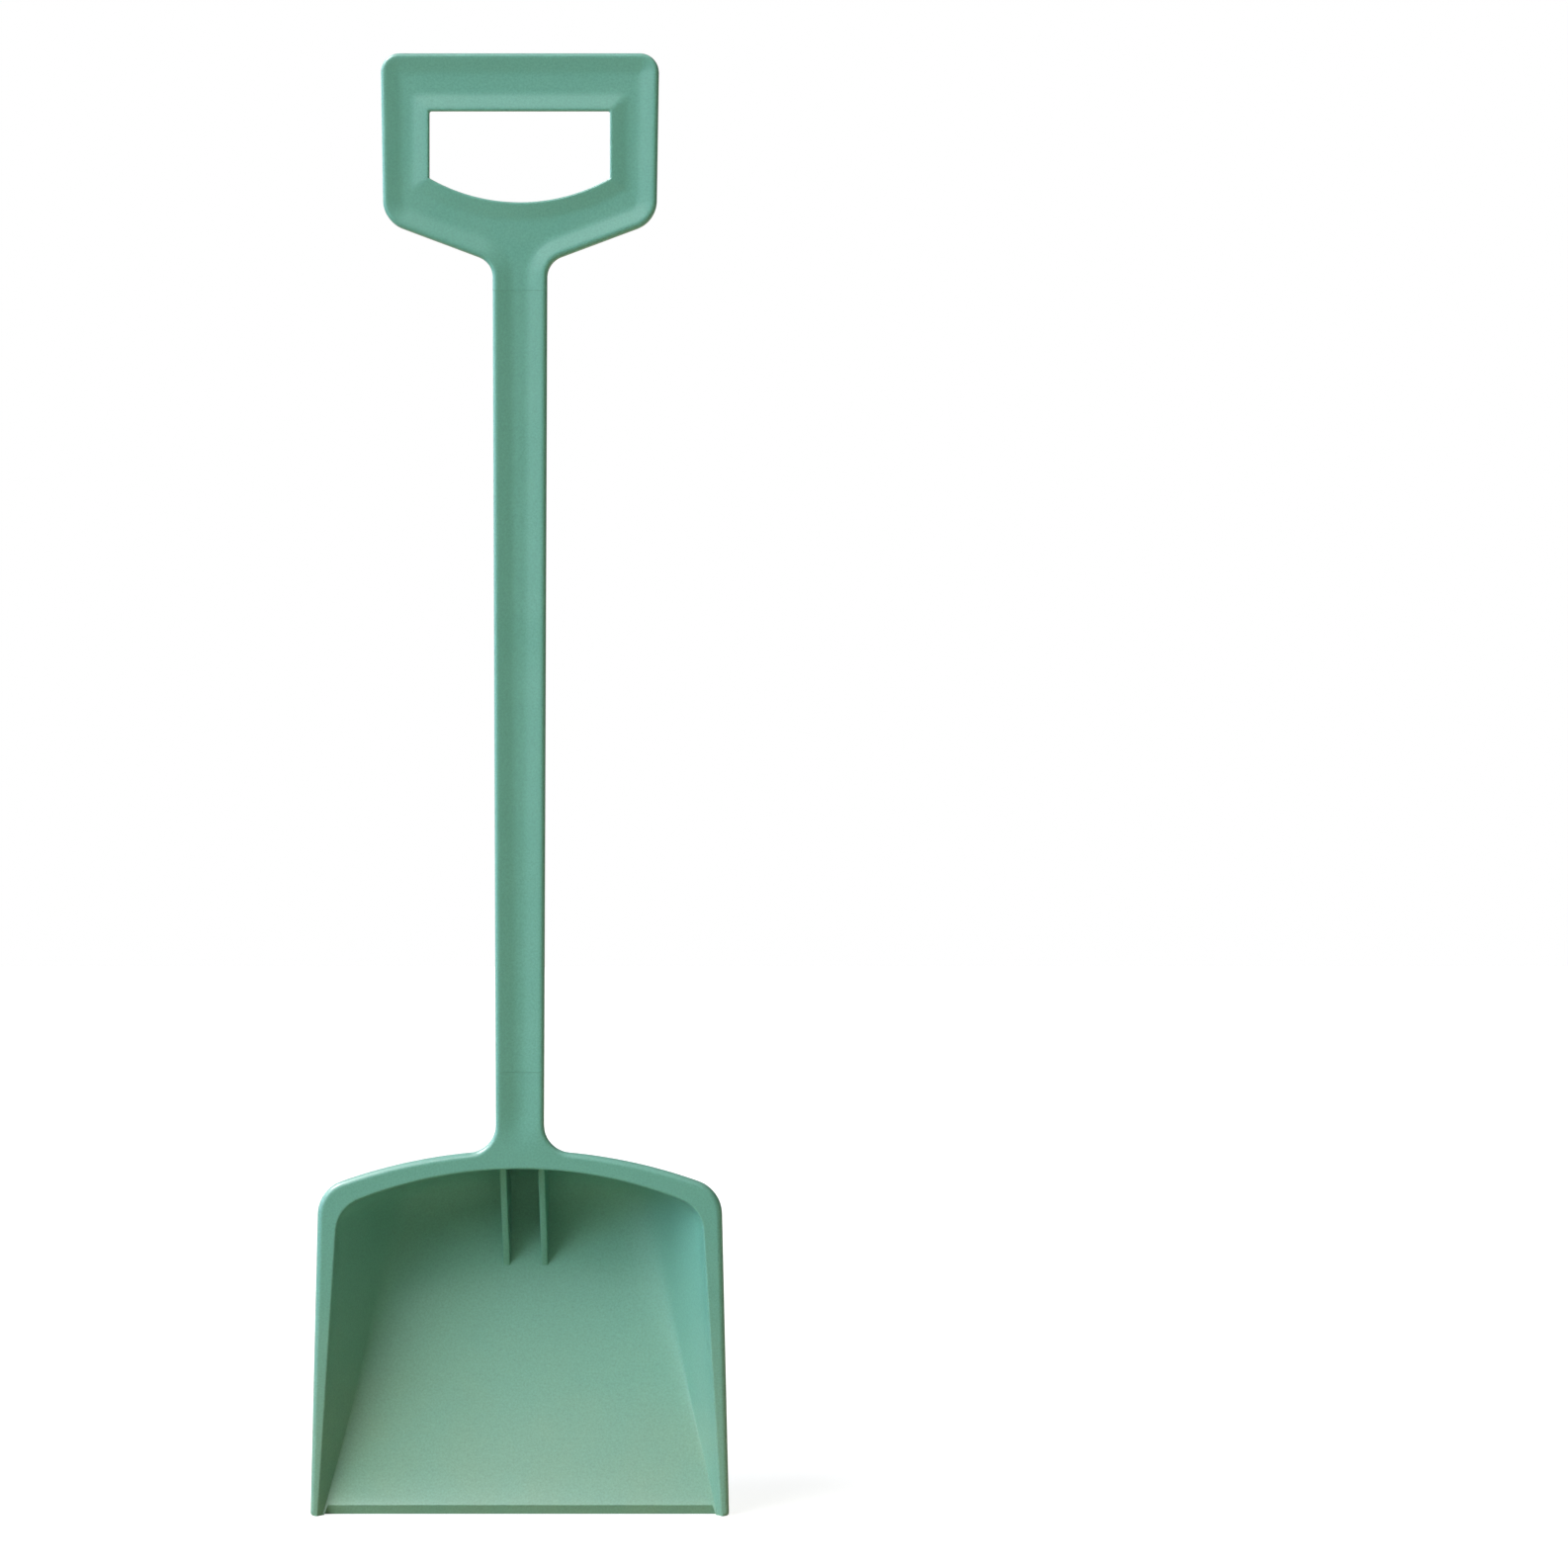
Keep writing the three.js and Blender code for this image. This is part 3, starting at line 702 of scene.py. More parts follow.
def rim_outline(section, scoop):
    """Outer outline of the scoop's right half, in six runs from the blade up to the butt line."""
    butt, top, _ = scoop_heights(section, scoop)
    centre = Vector((0.0, top - scoop.rim_arch))
    foot = Vector((scoop.blade_width / 2, BLADE_Z))
    half = scoop.top_width / 2
    corner = Vector((half, arch_height(scoop.rim_arch, top, half)))
    side = (corner - foot).normalized()
    inward = side.orthogonal()
    small = scoop.blade_corner
    low = crossing(foot + inward * small, side, Vector((0.0, BLADE_Z + small)), ACROSS)
    bevel = crossing(foot, side, Vector((0.0, heel_height(scoop))), ACROSS)
    knee, knee_low, knee_high = upper_corner(foot, side, scoop.rim_corner, centre, scoop.rim_arch)
    neck_foot = Vector((half_width(section, top), top))
    neck_end = Vector((half_width(section, butt), butt))
    rise = (neck_end - neck_foot).normalized()
    elbow = fillet_centre(neck_foot, rise, -scoop.shoulder, centre, scoop.rim_arch + scoop.shoulder)
    elbow_low = centre + (elbow - centre).normalized() * scoop.rim_arch
    elbow_high = elbow + rise.orthogonal() * scoop.shoulder
    return [
        arc_between(low, low - UP * small, low - inward * small, BLADE_STEPS) + [bevel],
        straight(bevel, knee_low, SIDE_STEPS),
        arc_between(knee, knee_low, knee_high),
        arc_between(centre, knee_high, elbow_low, ARCH_STEPS),
        arc_between(elbow, elbow_low, elbow_high, SHOULDER_STEPS),
        straight(elbow_high, neck_end, NECK_STEPS),
    ]


def pan_outline(section, scoop, step, split):
    """Outline of the pan's inside at a step of its depth, with outward directions and shares of the depth.

    It runs from the blade to the middle of the arch. The fillets along the sides shrink towards the blade.
    """
    share, blend = step.share(1.0), step.blend
    mouth_top = scoop_heights(section, scoop)[2]
    arch = scoop.mouth_arch
    corner_x, corner_z, deepest = deep_corner(section, scoop)

    def side_x(x, z):
        depth = floor_depth(scoop, z)
        return x - share * depth * math.tan(scoop.side_flare) - blend * scoop.side_blend * depth / deepest

    top_x = side_x(corner_x, corner_z)
    drop = pan_drop(section, scoop, step)
    foot = Vector((side_x(scoop.blade_width / 2 - scoop.width_at_blade, BLADE_Z), BLADE_Z))
    side = (Vector((top_x, arch_height(arch, mouth_top, top_x) - drop)) - foot).normalized()
    inward = side.orthogonal()
    level = Vector((-1 / inward.x, 0.0))
    centre = Vector((0.0, mouth_top - drop - arch))
    bevel = crossing(foot, side, Vector((0.0, heel_height(scoop))), ACROSS)
    knee, knee_low, knee_high = upper_corner(foot, side, scoop.mouth_corner, centre, arch)
    split_point = centre + Vector((split, math.sqrt(arch ** 2 - split ** 2)))
    long_side = enumerate(straight(bevel, knee_low, SIDE_STEPS))
    corner = arc_between(knee, knee_low, knee_high)
    side_arch = arc_between(centre, knee_high, split_point, ARCH_STEPS)
    top_arch = arc_between(centre, split_point, centre + UP * arch, SHOULDER_STEPS)
    runs = [
        [(p, level) for p in straight(foot, bevel, BEVEL_COLUMN)],
        [(p, level.lerp(-inward, k / SIDE_STEPS)) for k, p in long_side],
        [(p, (p - knee).normalized()) for p in corner],
        [(p, (p - centre).normalized()) for p in side_arch],
        [(p, (p - centre).normalized()) for p in top_arch],
    ]
    points, normals = zip(*joined(runs))
    points = np.array(points)
    climb = np.clip((points[:, 1] - BLADE_Z) / (knee_low.y - BLADE_Z), 0.0, 1.0)
    shares = step.share(climb ** scoop.fillet_growth)
    depths = floor_depth(scoop, points[:, 1])
    run = blend * scoop.side_blend * (floor_depth(scoop, knee_low.y) - scoop.floor_low) / deepest
    points[:, 0] -= (shares - share) * depths * math.tan(scoop.side_flare)
    points[:, 0] += run * (climb - climb ** scoop.fillet_growth)
    return points, np.array(normals), shares


def pan_drop(section, scoop, step):
    """How far the pan's top wall has moved down at a step of its depth."""
    deepest = deep_corner(section, scoop)[2]
    return step.share(1.0) * deepest * math.tan(scoop.top_draft) + step.blend * scoop.top_blend


class PanStep:
    """One step from the pan's mouth to its floor: so far down the wall, then so far round the fillet."""

    def __init__(self, scoop, wall, turn):
        self.fillet = scoop.wall_blend
        self.wall = wall
        self.turn = turn
        self.blend = turn ** 2

    def share(self, size):
        """Share of the depth, where the fillet has some share of its full size."""
        fillet = self.fillet * size
        return self.wall * (1 - fillet) + (1 - (1 - self.turn) ** 2) * fillet


def pan_steps(scoop):
    """Steps from below the pan's mouth to its floor."""
    wall = [PanStep(scoop, k / WALL_STEPS, 0.0) for k in range(1, WALL_STEPS + 1)]
    return wall + [PanStep(scoop, 1.0, k / FILLET_STEPS) for k in range(1, FILLET_STEPS + 1)]


def distance_to(points, path):
    """Distances of plan points from a path of straight steps."""
    path = np.array(path)
    starts, steps = path[:-1], np.diff(path, axis=0)
    offset = points[..., None, :] - starts
    share = np.clip((offset * steps).sum(-1) / (steps ** 2).sum(-1), 0.0, 1.0)
    return np.linalg.norm(offset - share[..., None] * steps, axis=-1).min(axis=-1)


def between(outer, inner, distances):
    """Rows of plan points, each at a row of distances from an outer line towards an inner one."""
    span = inner - outer
    reach = np.linalg.norm(span, axis=1)
    return outer + span * (np.array(distances) / reach)[..., None]


def lift(plan, depth):
    """Plan points with their depths, as rows of points in space."""
    return [[(x, y, z) for (x, z), y in zip(row, depths)] for row, depths in zip(plan, depth)]


def front_distances(reach, lips, mouth_round):
    """Rows of distances from the rim's edge to the mouth: the lip, the flat and the mouth's rounding."""
    lip = np.array(round_steps(1.0))[:, None] * np.minimum(lips, LIP_SHARE * reach)
    mouth_steps = np.array(round_steps(1.0, MOUTH_STEPS))[::-1, None]
    mouth = reach - mouth_steps * np.minimum(mouth_round, MOUTH_SHARE * reach)
    flat = np.array(spread(0.0, 1.0, FLAT_STEPS))[:-1, None] * (mouth[0] - lip[-1]) + lip[-1]
    return np.concatenate([lip, flat, mouth])


def back_distances(section, reach):
    """Rows of distances from the rim's edge inwards over its back; the second row lies on the lap plane."""
    fixed = np.array([inset for inset, _ in back_profile(section)])[:, None]
    near = fixed * np.minimum(1.0, BACK_SHARE * reach / fixed[-1])
    rest = np.array(spread(0.0, 1.0, BACK_STEPS))[:, None] * (reach - near[-1]) + near[-1]
    return np.concatenate([near, rest])


def rim_lips(section, scoop, runs):
    """Radius of the rim's outer edge along its outline: full round the arch, smaller at blade and neck."""
    knots = np.cumsum([0] + [len(run) - 1 for run in runs])
    low, full, neck = scoop.rim_lip_low, scoop.rim_lip, section.lip_round
    return np.interp(np.arange(knots[-1] + 1), knots, [low, low, full, full, full, neck, neck])


def middle_line(low, butt):
    """Plan points up the scoop's middle to its butt line, closest together at the low end."""
    climb = (np.arange(1, NECK_STEPS + 1) / NECK_STEPS) ** ROW_CROWDING
    return np.column_stack([np.zeros(NECK_STEPS), low + (butt - low) * climb])


def scoop_front(section, scoop, rim, mouth, lips):
    """Rows over the front: lips, the neck's trough with its ramp, and the rim down to the mouth."""
    butt, arch_top, mouth_top = scoop_heights(section, scoop)
    inner = np.concatenate([mouth, middle_line(mouth_top, butt)])
    reach = np.linalg.norm(inner - rim, axis=1)
    plan = between(rim, inner, front_distances(reach, lips, scoop.mouth_round))
    neck_inset = half_width(section, plan[..., 1]) - plan[..., 0]
    climb = np.clip((plan[..., 1] - arch_top + scoop.fade_margin) / scoop.fade_run, 0.0, 1.0)
    trough = trough_drop(section, neck_inset, section.lip_width, section.floor_soft)
    trough = trough * climb ** 2 * (3 - 2 * climb)
    lip = quarter_round(distance_to(plan, rim), lips)
    mouth_edge = quarter_round(distance_to(plan, mouth), scoop.mouth_round)
    return lift(plan, FRONT_Y + lip + trough + mouth_edge)


def scoop_back(section, scoop, rim, outside):
    """Rows over the back of the rim and neck, and the depths at which the pan's wall begins there."""
    butt, _, mouth_top = scoop_heights(section, scoop)
    inner = np.concatenate([outside, middle_line(mouth_top + scoop.wall, butt)])
    reach = np.linalg.norm(inner - rim, axis=1)
    plan = between(rim, inner, back_distances(section, reach))
    flange = FRONT_Y + scoop.rim_thickness - quarter_round(distance_to(plan, rim), scoop.rim_back)
    neck = back_rounding(section, half_width(section, plan[..., 1]) - plan[..., 0])
    root = np.minimum(scoop.root_fillet, ROOT_SHARE * reach)
    fillet = quarter_round(distance_to(plan, outside), root)
    rows = lift(plan, soft_max(flange, neck, BACK_SOFT) + fillet)
    return rows, (flange + fillet)[-1, :len(outside)]


def add_blade(shell, scoop, foot, ring, blade_front, blade_back):
    """The blade: a raised line, the bevel below it, the bevel's short ends and the edge itself.

    The foot is the last row of the pan's inside walls, and the ring the floor's border. The other two
    rows are the pan's front and back at the blade.
    """
    back_y = float(pan_back(scoop, BLADE_Z))
    edge_y = back_y - scoop.edge_thickness
    bead_end = foot[BEVEL_COLUMN - 1]
    bead_y, bead_z = bead_end[1] - scoop.bevel_bead, bead_end[2]
    bead = (ring[BEVEL_COLUMN][0], bead_y, bead_z)
    bead_middle = (0.0, bead_y, bead_z)
    bevel_top = (0.0, ring[BEVEL_COLUMN][1], heel_height(scoop))
    edge_end = (foot[0][0], edge_y, BLADE_Z)
    edge_middle = (0.0, edge_y, BLADE_Z)
    shell.fill(foot[:BEVEL_COLUMN] + [edge_end])
    shell.fill([foot[BEVEL_COLUMN], ring[BEVEL_COLUMN], bead, bead_end])
    shell.fill([ring[BEVEL_COLUMN], bevel_top, bead_middle, bead])
    shell.fill([bead_end, bead, bead_middle, edge_middle, edge_end])
    shell.fill(blade_front + [edge_end, edge_middle, (0.0, back_y, BLADE_Z)] + blade_back[::-1])


def scoop_shell(section, scoop):
    """The scoop: neck and tab, flat rim, pan and blade."""
    shell = Shell()
    butt = scoop_heights(section, scoop)[0]
    runs = rim_outline(section, scoop)
    rim = np.array(joined(runs))
    split = SPLIT_SHARE * runs[SHOULDER_RUN][0].x
    mouth, outward, _ = pan_outline(section, scoop, PanStep(scoop, 0.0, 0.0), split)
    columns = len(mouth)

    # Front and back of the rim and neck
    rim_width = np.linalg.norm(mouth - rim[:columns], axis=1)
    narrow = np.minimum(1.0, WALL_SHARE * rim_width / scoop.wall)
    outside = mouth + outward * (scoop.wall * narrow)[:, None]
    front_rows = scoop_front(section, scoop, rim, mouth, rim_lips(section, scoop, runs))
    back_rows, start = scoop_back(section, scoop, rim, outside)
    shell.grid(front_rows)
    shell.grid(back_rows)
    shell.grid([front_rows[0], back_rows[0]])

    # Pan: inside walls and floor, then outside walls and floor
    inside_rows = [front_rows[-1][:columns]]
    outside_rows = [back_rows[-1][:columns]]
    neck_foot = np.array([p[1] for p in outside_rows[0]])
    for step in pan_steps(scoop):
        points, normals, shares = pan_outline(section, scoop, step, split)
        below_mouth = floor_depth(scoop, points[:, 1]) - scoop.mouth_round
        inside_rows += lift([points], [FRONT_Y + scoop.mouth_round + shares * below_mouth])
        outer = points + normals * (scoop.wall * (narrow + (1 - narrow) * shares))[:, None]
        wall_depth = start + (pan_back(scoop, outer[:, 1]) - start) * shares
        outside_rows += lift([outer], [np.maximum(wall_depth, neck_foot)])
    inner_ring = points - normals * FLOOR_RING
    outer_ring = outer - normals * FLOOR_RING
    ring = lift([inner_ring], [FRONT_Y + floor_depth(scoop, inner_ring[:, 1])])[0]
    back_ring = lift([outer_ring], [pan_back(scoop, outer_ring[:, 1])])[0]
    heel = heel_height(scoop)
    back_y = float(pan_back(scoop, heel))
    shell.grid(inside_rows)
    shell.grid([inside_rows[-1][BEVEL_COLUMN:], ring[BEVEL_COLUMN:]])
    shell.grid(outside_rows + [back_ring])
    shell.fill(ring[BEVEL_COLUMN:] + [(0.0, ring[BEVEL_COLUMN][1], heel)])
    shell.fill(back_ring[BEVEL_COLUMN:] + [(0.0, back_y, heel)])
    shell.fill(back_ring[:BEVEL_COLUMN + 1] + [(0.0, back_y, heel), (0.0, back_y, BLADE_Z)])
    blade_front = [row[0] for row in front_rows + inside_rows[1:]]
    blade_back = [row[0] for row in back_rows + outside_rows[1:] + [back_ring]]
    add_blade(shell, scoop, inside_rows[-1], ring, blade_front, blade_back)

    # Butt wall and tab behind the shaft's lower end
    lap = BACK_Y - section.saddle_wall
    butt_front = [row[-1] for row in front_rows]
    butt_back = [row[-1] for row in back_rows]
    shell.fill(butt_front + [(0.0, lap, butt), butt_back[1], butt_back[0]])
    add_tab(shell, section, [(x, y) for x, y, z in butt_back[1:]], butt, LOWER_TAB_Z)
    return shell


def put(tree, kind, inputs=None, **settings):
    """Adds a node with some settings, and gives its inputs an output, a list of outputs or a constant."""
    node = tree.nodes.new(kind)
    for name, value in settings.items():
        setattr(node, name, value)
    for name, source in (inputs or {}).items():
        if isinstance(source, (bpy.types.NodeSocket, list)):
            for output in source if isinstance(source, list) else [source]:
                tree.links.new(output, node.inputs[name])
        else:
            node.inputs[name].default_value = source
    return node


def add_sockets(tree, values):
    """Gives a tree one named input for each of some values."""
    for label, value in values.items():
        tree.interface.new_socket(label, in_out="INPUT", socket_type=SOCKETS[type(value)])


def geometry_tree(name, values):
    """A new geometry node tree with a geometry input, one input for each value and one geometry output."""
    tree = bpy.data.node_groups.new(name, "GeometryNodeTree")
    tree.interface.new_socket("Geometry", in_out="INPUT", socket_type="NodeSocketGeometry")
    add_sockets(tree, values)
    tree.interface.new_socket("Geometry", in_out="OUTPUT", socket_type="NodeSocketGeometry")
    return tree, tree.nodes.new("NodeGroupInput").outputs


def close_tree(tree, geometry, material):
    """Realizes what a tree made, gives it its material and sends it out."""
    real = put(tree, "GeometryNodeRealizeInstances", {"Geometry": geometry})
    dressed = put(tree, "GeometryNodeSetMaterial", {"Geometry": real.outputs[0], "Material": material})
    put(tree, "NodeGroupOutput", {0: dressed.outputs[0]})


def grown_mesh(name, mesh, tree, values, round_edges=0.0):
    """The plain mesh that a geometry node tree makes from a start mesh."""
    holder = bpy.data.objects.new(name, mesh)
    bpy.context.scene.collection.objects.link(holder)
    modifier = holder.modifiers.new("Growth", "NODES")
    modifier.node_group = tree
    for item in tree.interface.items_tree:
        if item.in_out == "INPUT" and item.name in values:
            modifier[item.identifier] = values[item.name]
    if round_edges:
        bevel = holder.modifiers.new("Rounding", "BEVEL")
        bevel.width = round_edges
        bevel.segments = ROUNDING_SEGMENTS
        bevel.limit_method = "ANGLE"
    bpy.context.view_layer.update()
    shown = holder.evaluated_get(bpy.context.evaluated_depsgraph_get())
    grown = bpy.data.meshes.new_from_object(shown)
    bpy.data.objects.remove(holder)
    grown.name = name
    return grown


def face_mesh(name, points):
    """A mesh of one flat face."""
    mesh = bpy.data.meshes.new(name)
    mesh.from_pydata(points, [], [range(len(points))])
    return mesh


def prism(tree, face, offset):
    """Grows a flat face into a closed solid along an offset."""
    grown = put(tree, "GeometryNodeExtrudeMesh", {
        "Mesh": face, "Offset": offset, "Individual": False, "Offset Scale": 1.0})
    base = put(tree, "GeometryNodeFlipFaces", {"Mesh": face})
    both = put(tree, "GeometryNodeJoinGeometry", {0: [grown.outputs[0], base.outputs[0]]})
    return put(tree, "GeometryNodeMergeByDistance", {
        "Geometry": both.outputs[0], "Distance": MERGE_DISTANCE}).outputs[0]


def math_node(tree, operation, first, second):
    """One sum on two numbers, each an output or a constant."""
    return put(tree, "ShaderNodeMath", {0: first, 1: second}, operation=operation).outputs[0]


def point(tree, **parts):
    """A vector made from outputs for some of its X, Y and Z."""
    return put(tree, "ShaderNodeCombineXYZ", parts).outputs[0]


def shaft_section(section, z):
    """The shaft's section at a height, as a loop of (x, y) points."""
    half = half_width(section, z)
    front = front_profile(section, section.lip_width, section.lip_round, section.floor_soft)
    profile = [(half - i, y) for i, y in front + back_profile(section)]
    right = [(x, y) for x, y in profile if x > 0]
    left = [(-x, y) for x, y in reversed(right)]
    return right + left


def shaft_tree(values):
    """Grows the shaft: its section drawn out, spread by the taper, lapped and given pips."""
    tree, given = geometry_tree("Tapered trough shaft", values)
    bar = prism(tree, given["Geometry"], point(tree, Z=given["Length"]))

    # The taper pushes each side out by its share of the length
    position = put(tree, "GeometryNodeInputPosition").outputs[0]
    place = put(tree, "ShaderNodeSeparateXYZ", {0: position}).outputs
    height = math_node(tree, "SUBTRACT", place["Z"], given["Low Height"])
    share = math_node(tree, "DIVIDE", height, given["Length"])
    size = math_node(tree, "DIVIDE", math_node(tree, "ABSOLUTE", place["X"], 0.0), TAPER_EDGE)
    sign = math_node(tree, "SIGN", place["X"], 0.0)
    side = math_node(tree, "MULTIPLY", sign, math_node(tree, "MINIMUM", size, 1.0))
    shift = math_node(tree, "MULTIPLY", math_node(tree, "MULTIPLY", side, share), given["Spread"])
    bar = put(tree, "GeometryNodeSetPosition", {"Geometry": bar, "Offset": point(tree, X=shift)}).outputs[0]

    # One rounded block for each lap, and a line of places for the pips on it
    outline = put(tree, "GeometryNodeCurvePrimitiveQuadrilateral", {
        "Width": given["Lap Width"], "Height": given["Lap Length"]})
    eased = put(tree, "GeometryNodeFilletCurve", {
        "Curve": outline.outputs[0], "Radius": given["Lap Radius"], "Count": ARC_STEPS}, mode="POLY")
    plate = put(tree, "GeometryNodeFillCurve", {"Curve": eased.outputs[0]}, mode="NGONS")
    block = prism(tree, plate.outputs[0], point(tree, Z=given["Lap Cut"]))
    laps = []
    lines = []
    for end in ("Upper", "Lower"):
        spot = point(tree, Y=given["Lap Depth"], Z=given[end + " Lap"])
        laps.append(put(tree, "GeometryNodeTransform", {
            "Geometry": block, "Translation": spot, "Rotation": (-math.pi / 2, 0.0, 0.0)}).outputs[0])
        lines.append(put(tree, "GeometryNodeMeshLine", {
            "Count": given["Pips"],
            "Start Location": point(tree, Y=given["Pip Depth"], Z=given[end + " Pip"]),
            "Offset": point(tree, Z=given["Pip Spacing"])}).outputs[0])
    lapped = put(tree, "GeometryNodeMeshBoolean", {"Mesh 1": bar, "Mesh 2": laps},
                 operation="DIFFERENCE", solver="EXACT")
    pip = put(tree, "GeometryNodeMeshCylinder", {
        "Radius": given["Pip Radius"], "Depth": given["Pip Length"], "Vertices": 2 * PIP_STEPS})
    spots = put(tree, "GeometryNodeJoinGeometry", {0: lines})
    pips = put(tree, "GeometryNodeInstanceOnPoints", {
        "Points": spots.outputs[0], "Instance": pip.outputs[0], "Rotation": (math.pi / 2, 0.0, 0.0)})
    whole = put(tree, "GeometryNodeJoinGeometry", {0: [lapped.outputs[0], pips.outputs[0]]})
    close_tree(tree, whole.outputs[0], given["Material"])
    return tree


def shaft_mesh(section, material):
    """The shaft as a plain mesh."""
    gap = section.joint_gap
    lap = BACK_Y - section.saddle_wall
    butts = SHAFT_HIGH.z + gap, SHAFT_LOW.z - gap
    ends = UPPER_TAB_Z, LOWER_TAB_Z
    high, low = butts[0] - section.butt_gap, butts[1] + section.butt_gap
    reach = abs(butts[0] - ends[0])
    pip_low = lap - gap - (lap - gap - FRONT_Y - section.trough_depth) / 2
    pip_high = BACK_Y - section.pip_sink
    upper, lower = [sorted(pip_heights(section, butt, end)) for butt, end in zip(butts, ends)]
    values = {
        "Length": high - low,
        "Low Height": low,
        "Spread": half_width(section, high) - half_width(section, low),
        "Lap Width": 2 * SHAFT_HIGH.x + LAP_MARGIN,
        "Lap Length": 2 * (reach + gap),
        "Lap Radius": section.saddle_radius + gap,
        "Lap Depth": lap - gap,
        "Lap Cut": LAP_CUT,
        "Upper Lap": butts[0],
        "Lower Lap": butts[1],
        "Pips": section.pips,
        "Pip Radius": section.pip_radius,
        "Pip Length": pip_high - pip_low,
        "Pip Depth": (pip_low + pip_high) / 2,
        "Pip Spacing": reach / (section.pips + 1),
        "Upper Pip": upper[0],
        "Lower Pip": lower[0],
        "Material": material,
    }
    start = face_mesh("Shaft section", [(x, y, low) for x, y in shaft_section(section, low)])
    return grown_mesh("shaft_moulding", start, shaft_tree(values), values)


def gusset_profile(section, scoop):
    """A gusset seen from the side, as (y, z) points; its far edges lie inside the pan's wall."""
    mouth_top = scoop_heights(section, scoop)[2]
    foot = mouth_top - scoop.gusset_length
    bury = scoop.wall / 2
    slope = (floor_depth(scoop, foot) - scoop.gusset_depth) / scoop.gusset_length
    wall = []
    for step in pan_steps(scoop):
        share = step.share(1.0)
        z = mouth_top - pan_drop(section, scoop, step)
        y = scoop.mouth_round + share * (floor_depth(scoop, z) - scoop.mouth_round)
        if y > scoop.gusset_depth + bury and z > foot:
            wall.append((FRONT_Y + y + bury * share, z + bury))
    front_top = (FRONT_Y + scoop.gusset_depth - slope * bury, mouth_top + bury)
    low = (FRONT_Y + floor_depth(scoop, foot) + bury, foot)
    return [front_top, (FRONT_Y + floor_depth(scoop, foot), foot), low] + wall[::-1]


def gusset_tree(values):
    """Grows the gussets: one profile given a thickness, repeated across the scoop."""
    tree, given = geometry_tree("Row of gussets", values)
    plate = prism(tree, given["Geometry"], point(tree, X=given["Thickness"]))
    width = math_node(tree, "MULTIPLY", given["Spacing"], math_node(tree, "SUBTRACT", given["Count"], 1.0))
    first = math_node(tree, "MULTIPLY", math_node(tree, "ADD", width, given["Thickness"]), -0.5)
    line = put(tree, "GeometryNodeMeshLine", {
        "Count": given["Count"],
        "Start Location": point(tree, X=first),
        "Offset": point(tree, X=given["Spacing"])})
    row = put(tree, "GeometryNodeInstanceOnPoints", {"Points": line.outputs[0], "Instance": plate})
    close_tree(tree, row.outputs[0], given["Material"])
    return tree


def gusset_mesh(section, scoop, material):
    """The gussets as a plain mesh with rounded edges."""
    values = {
        "Thickness": scoop.gusset_thickness,
        "Spacing": scoop.gusset_spacing,
        "Count": GUSSETS,
        "Material": material,
    }
    start = face_mesh("Gusset profile", [(0.0, y, z) for y, z in gusset_profile(section, scoop)])
    return grown_mesh("scoop_gussets", start, gusset_tree(values), values, scoop.gusset_round)


def emptied_tree(owner):
    """The node tree of a new material or world, with nothing in it."""
    owner.use_nodes = True
    owner.node_tree.nodes.clear()
    return owner.node_tree


def mixed(tree, share, first, second):
    """A colour between two others, each an output or a constant."""
    colours = {"Factor": share, "A": first, "B": second}
    return put(tree, "ShaderNodeMix", colours, data_type="RGBA").outputs["Result"]


def smooth_range(tree, inputs):
    """A value mapped gently from one range to another; both run from 0 to 1 where nothing else is given."""
    return put(tree, "ShaderNodeMapRange", inputs, interpolation_type="SMOOTHSTEP").outputs["Result"]


def noise(tree, place, size, settings):
    """Noise with some size of its features."""
    scale = math_node(tree, "DIVIDE", 1.0, size)
    return put(tree, "ShaderNodeTexNoise", {"Vector": place, "Scale": scale, **settings}).outputs["Fac"]


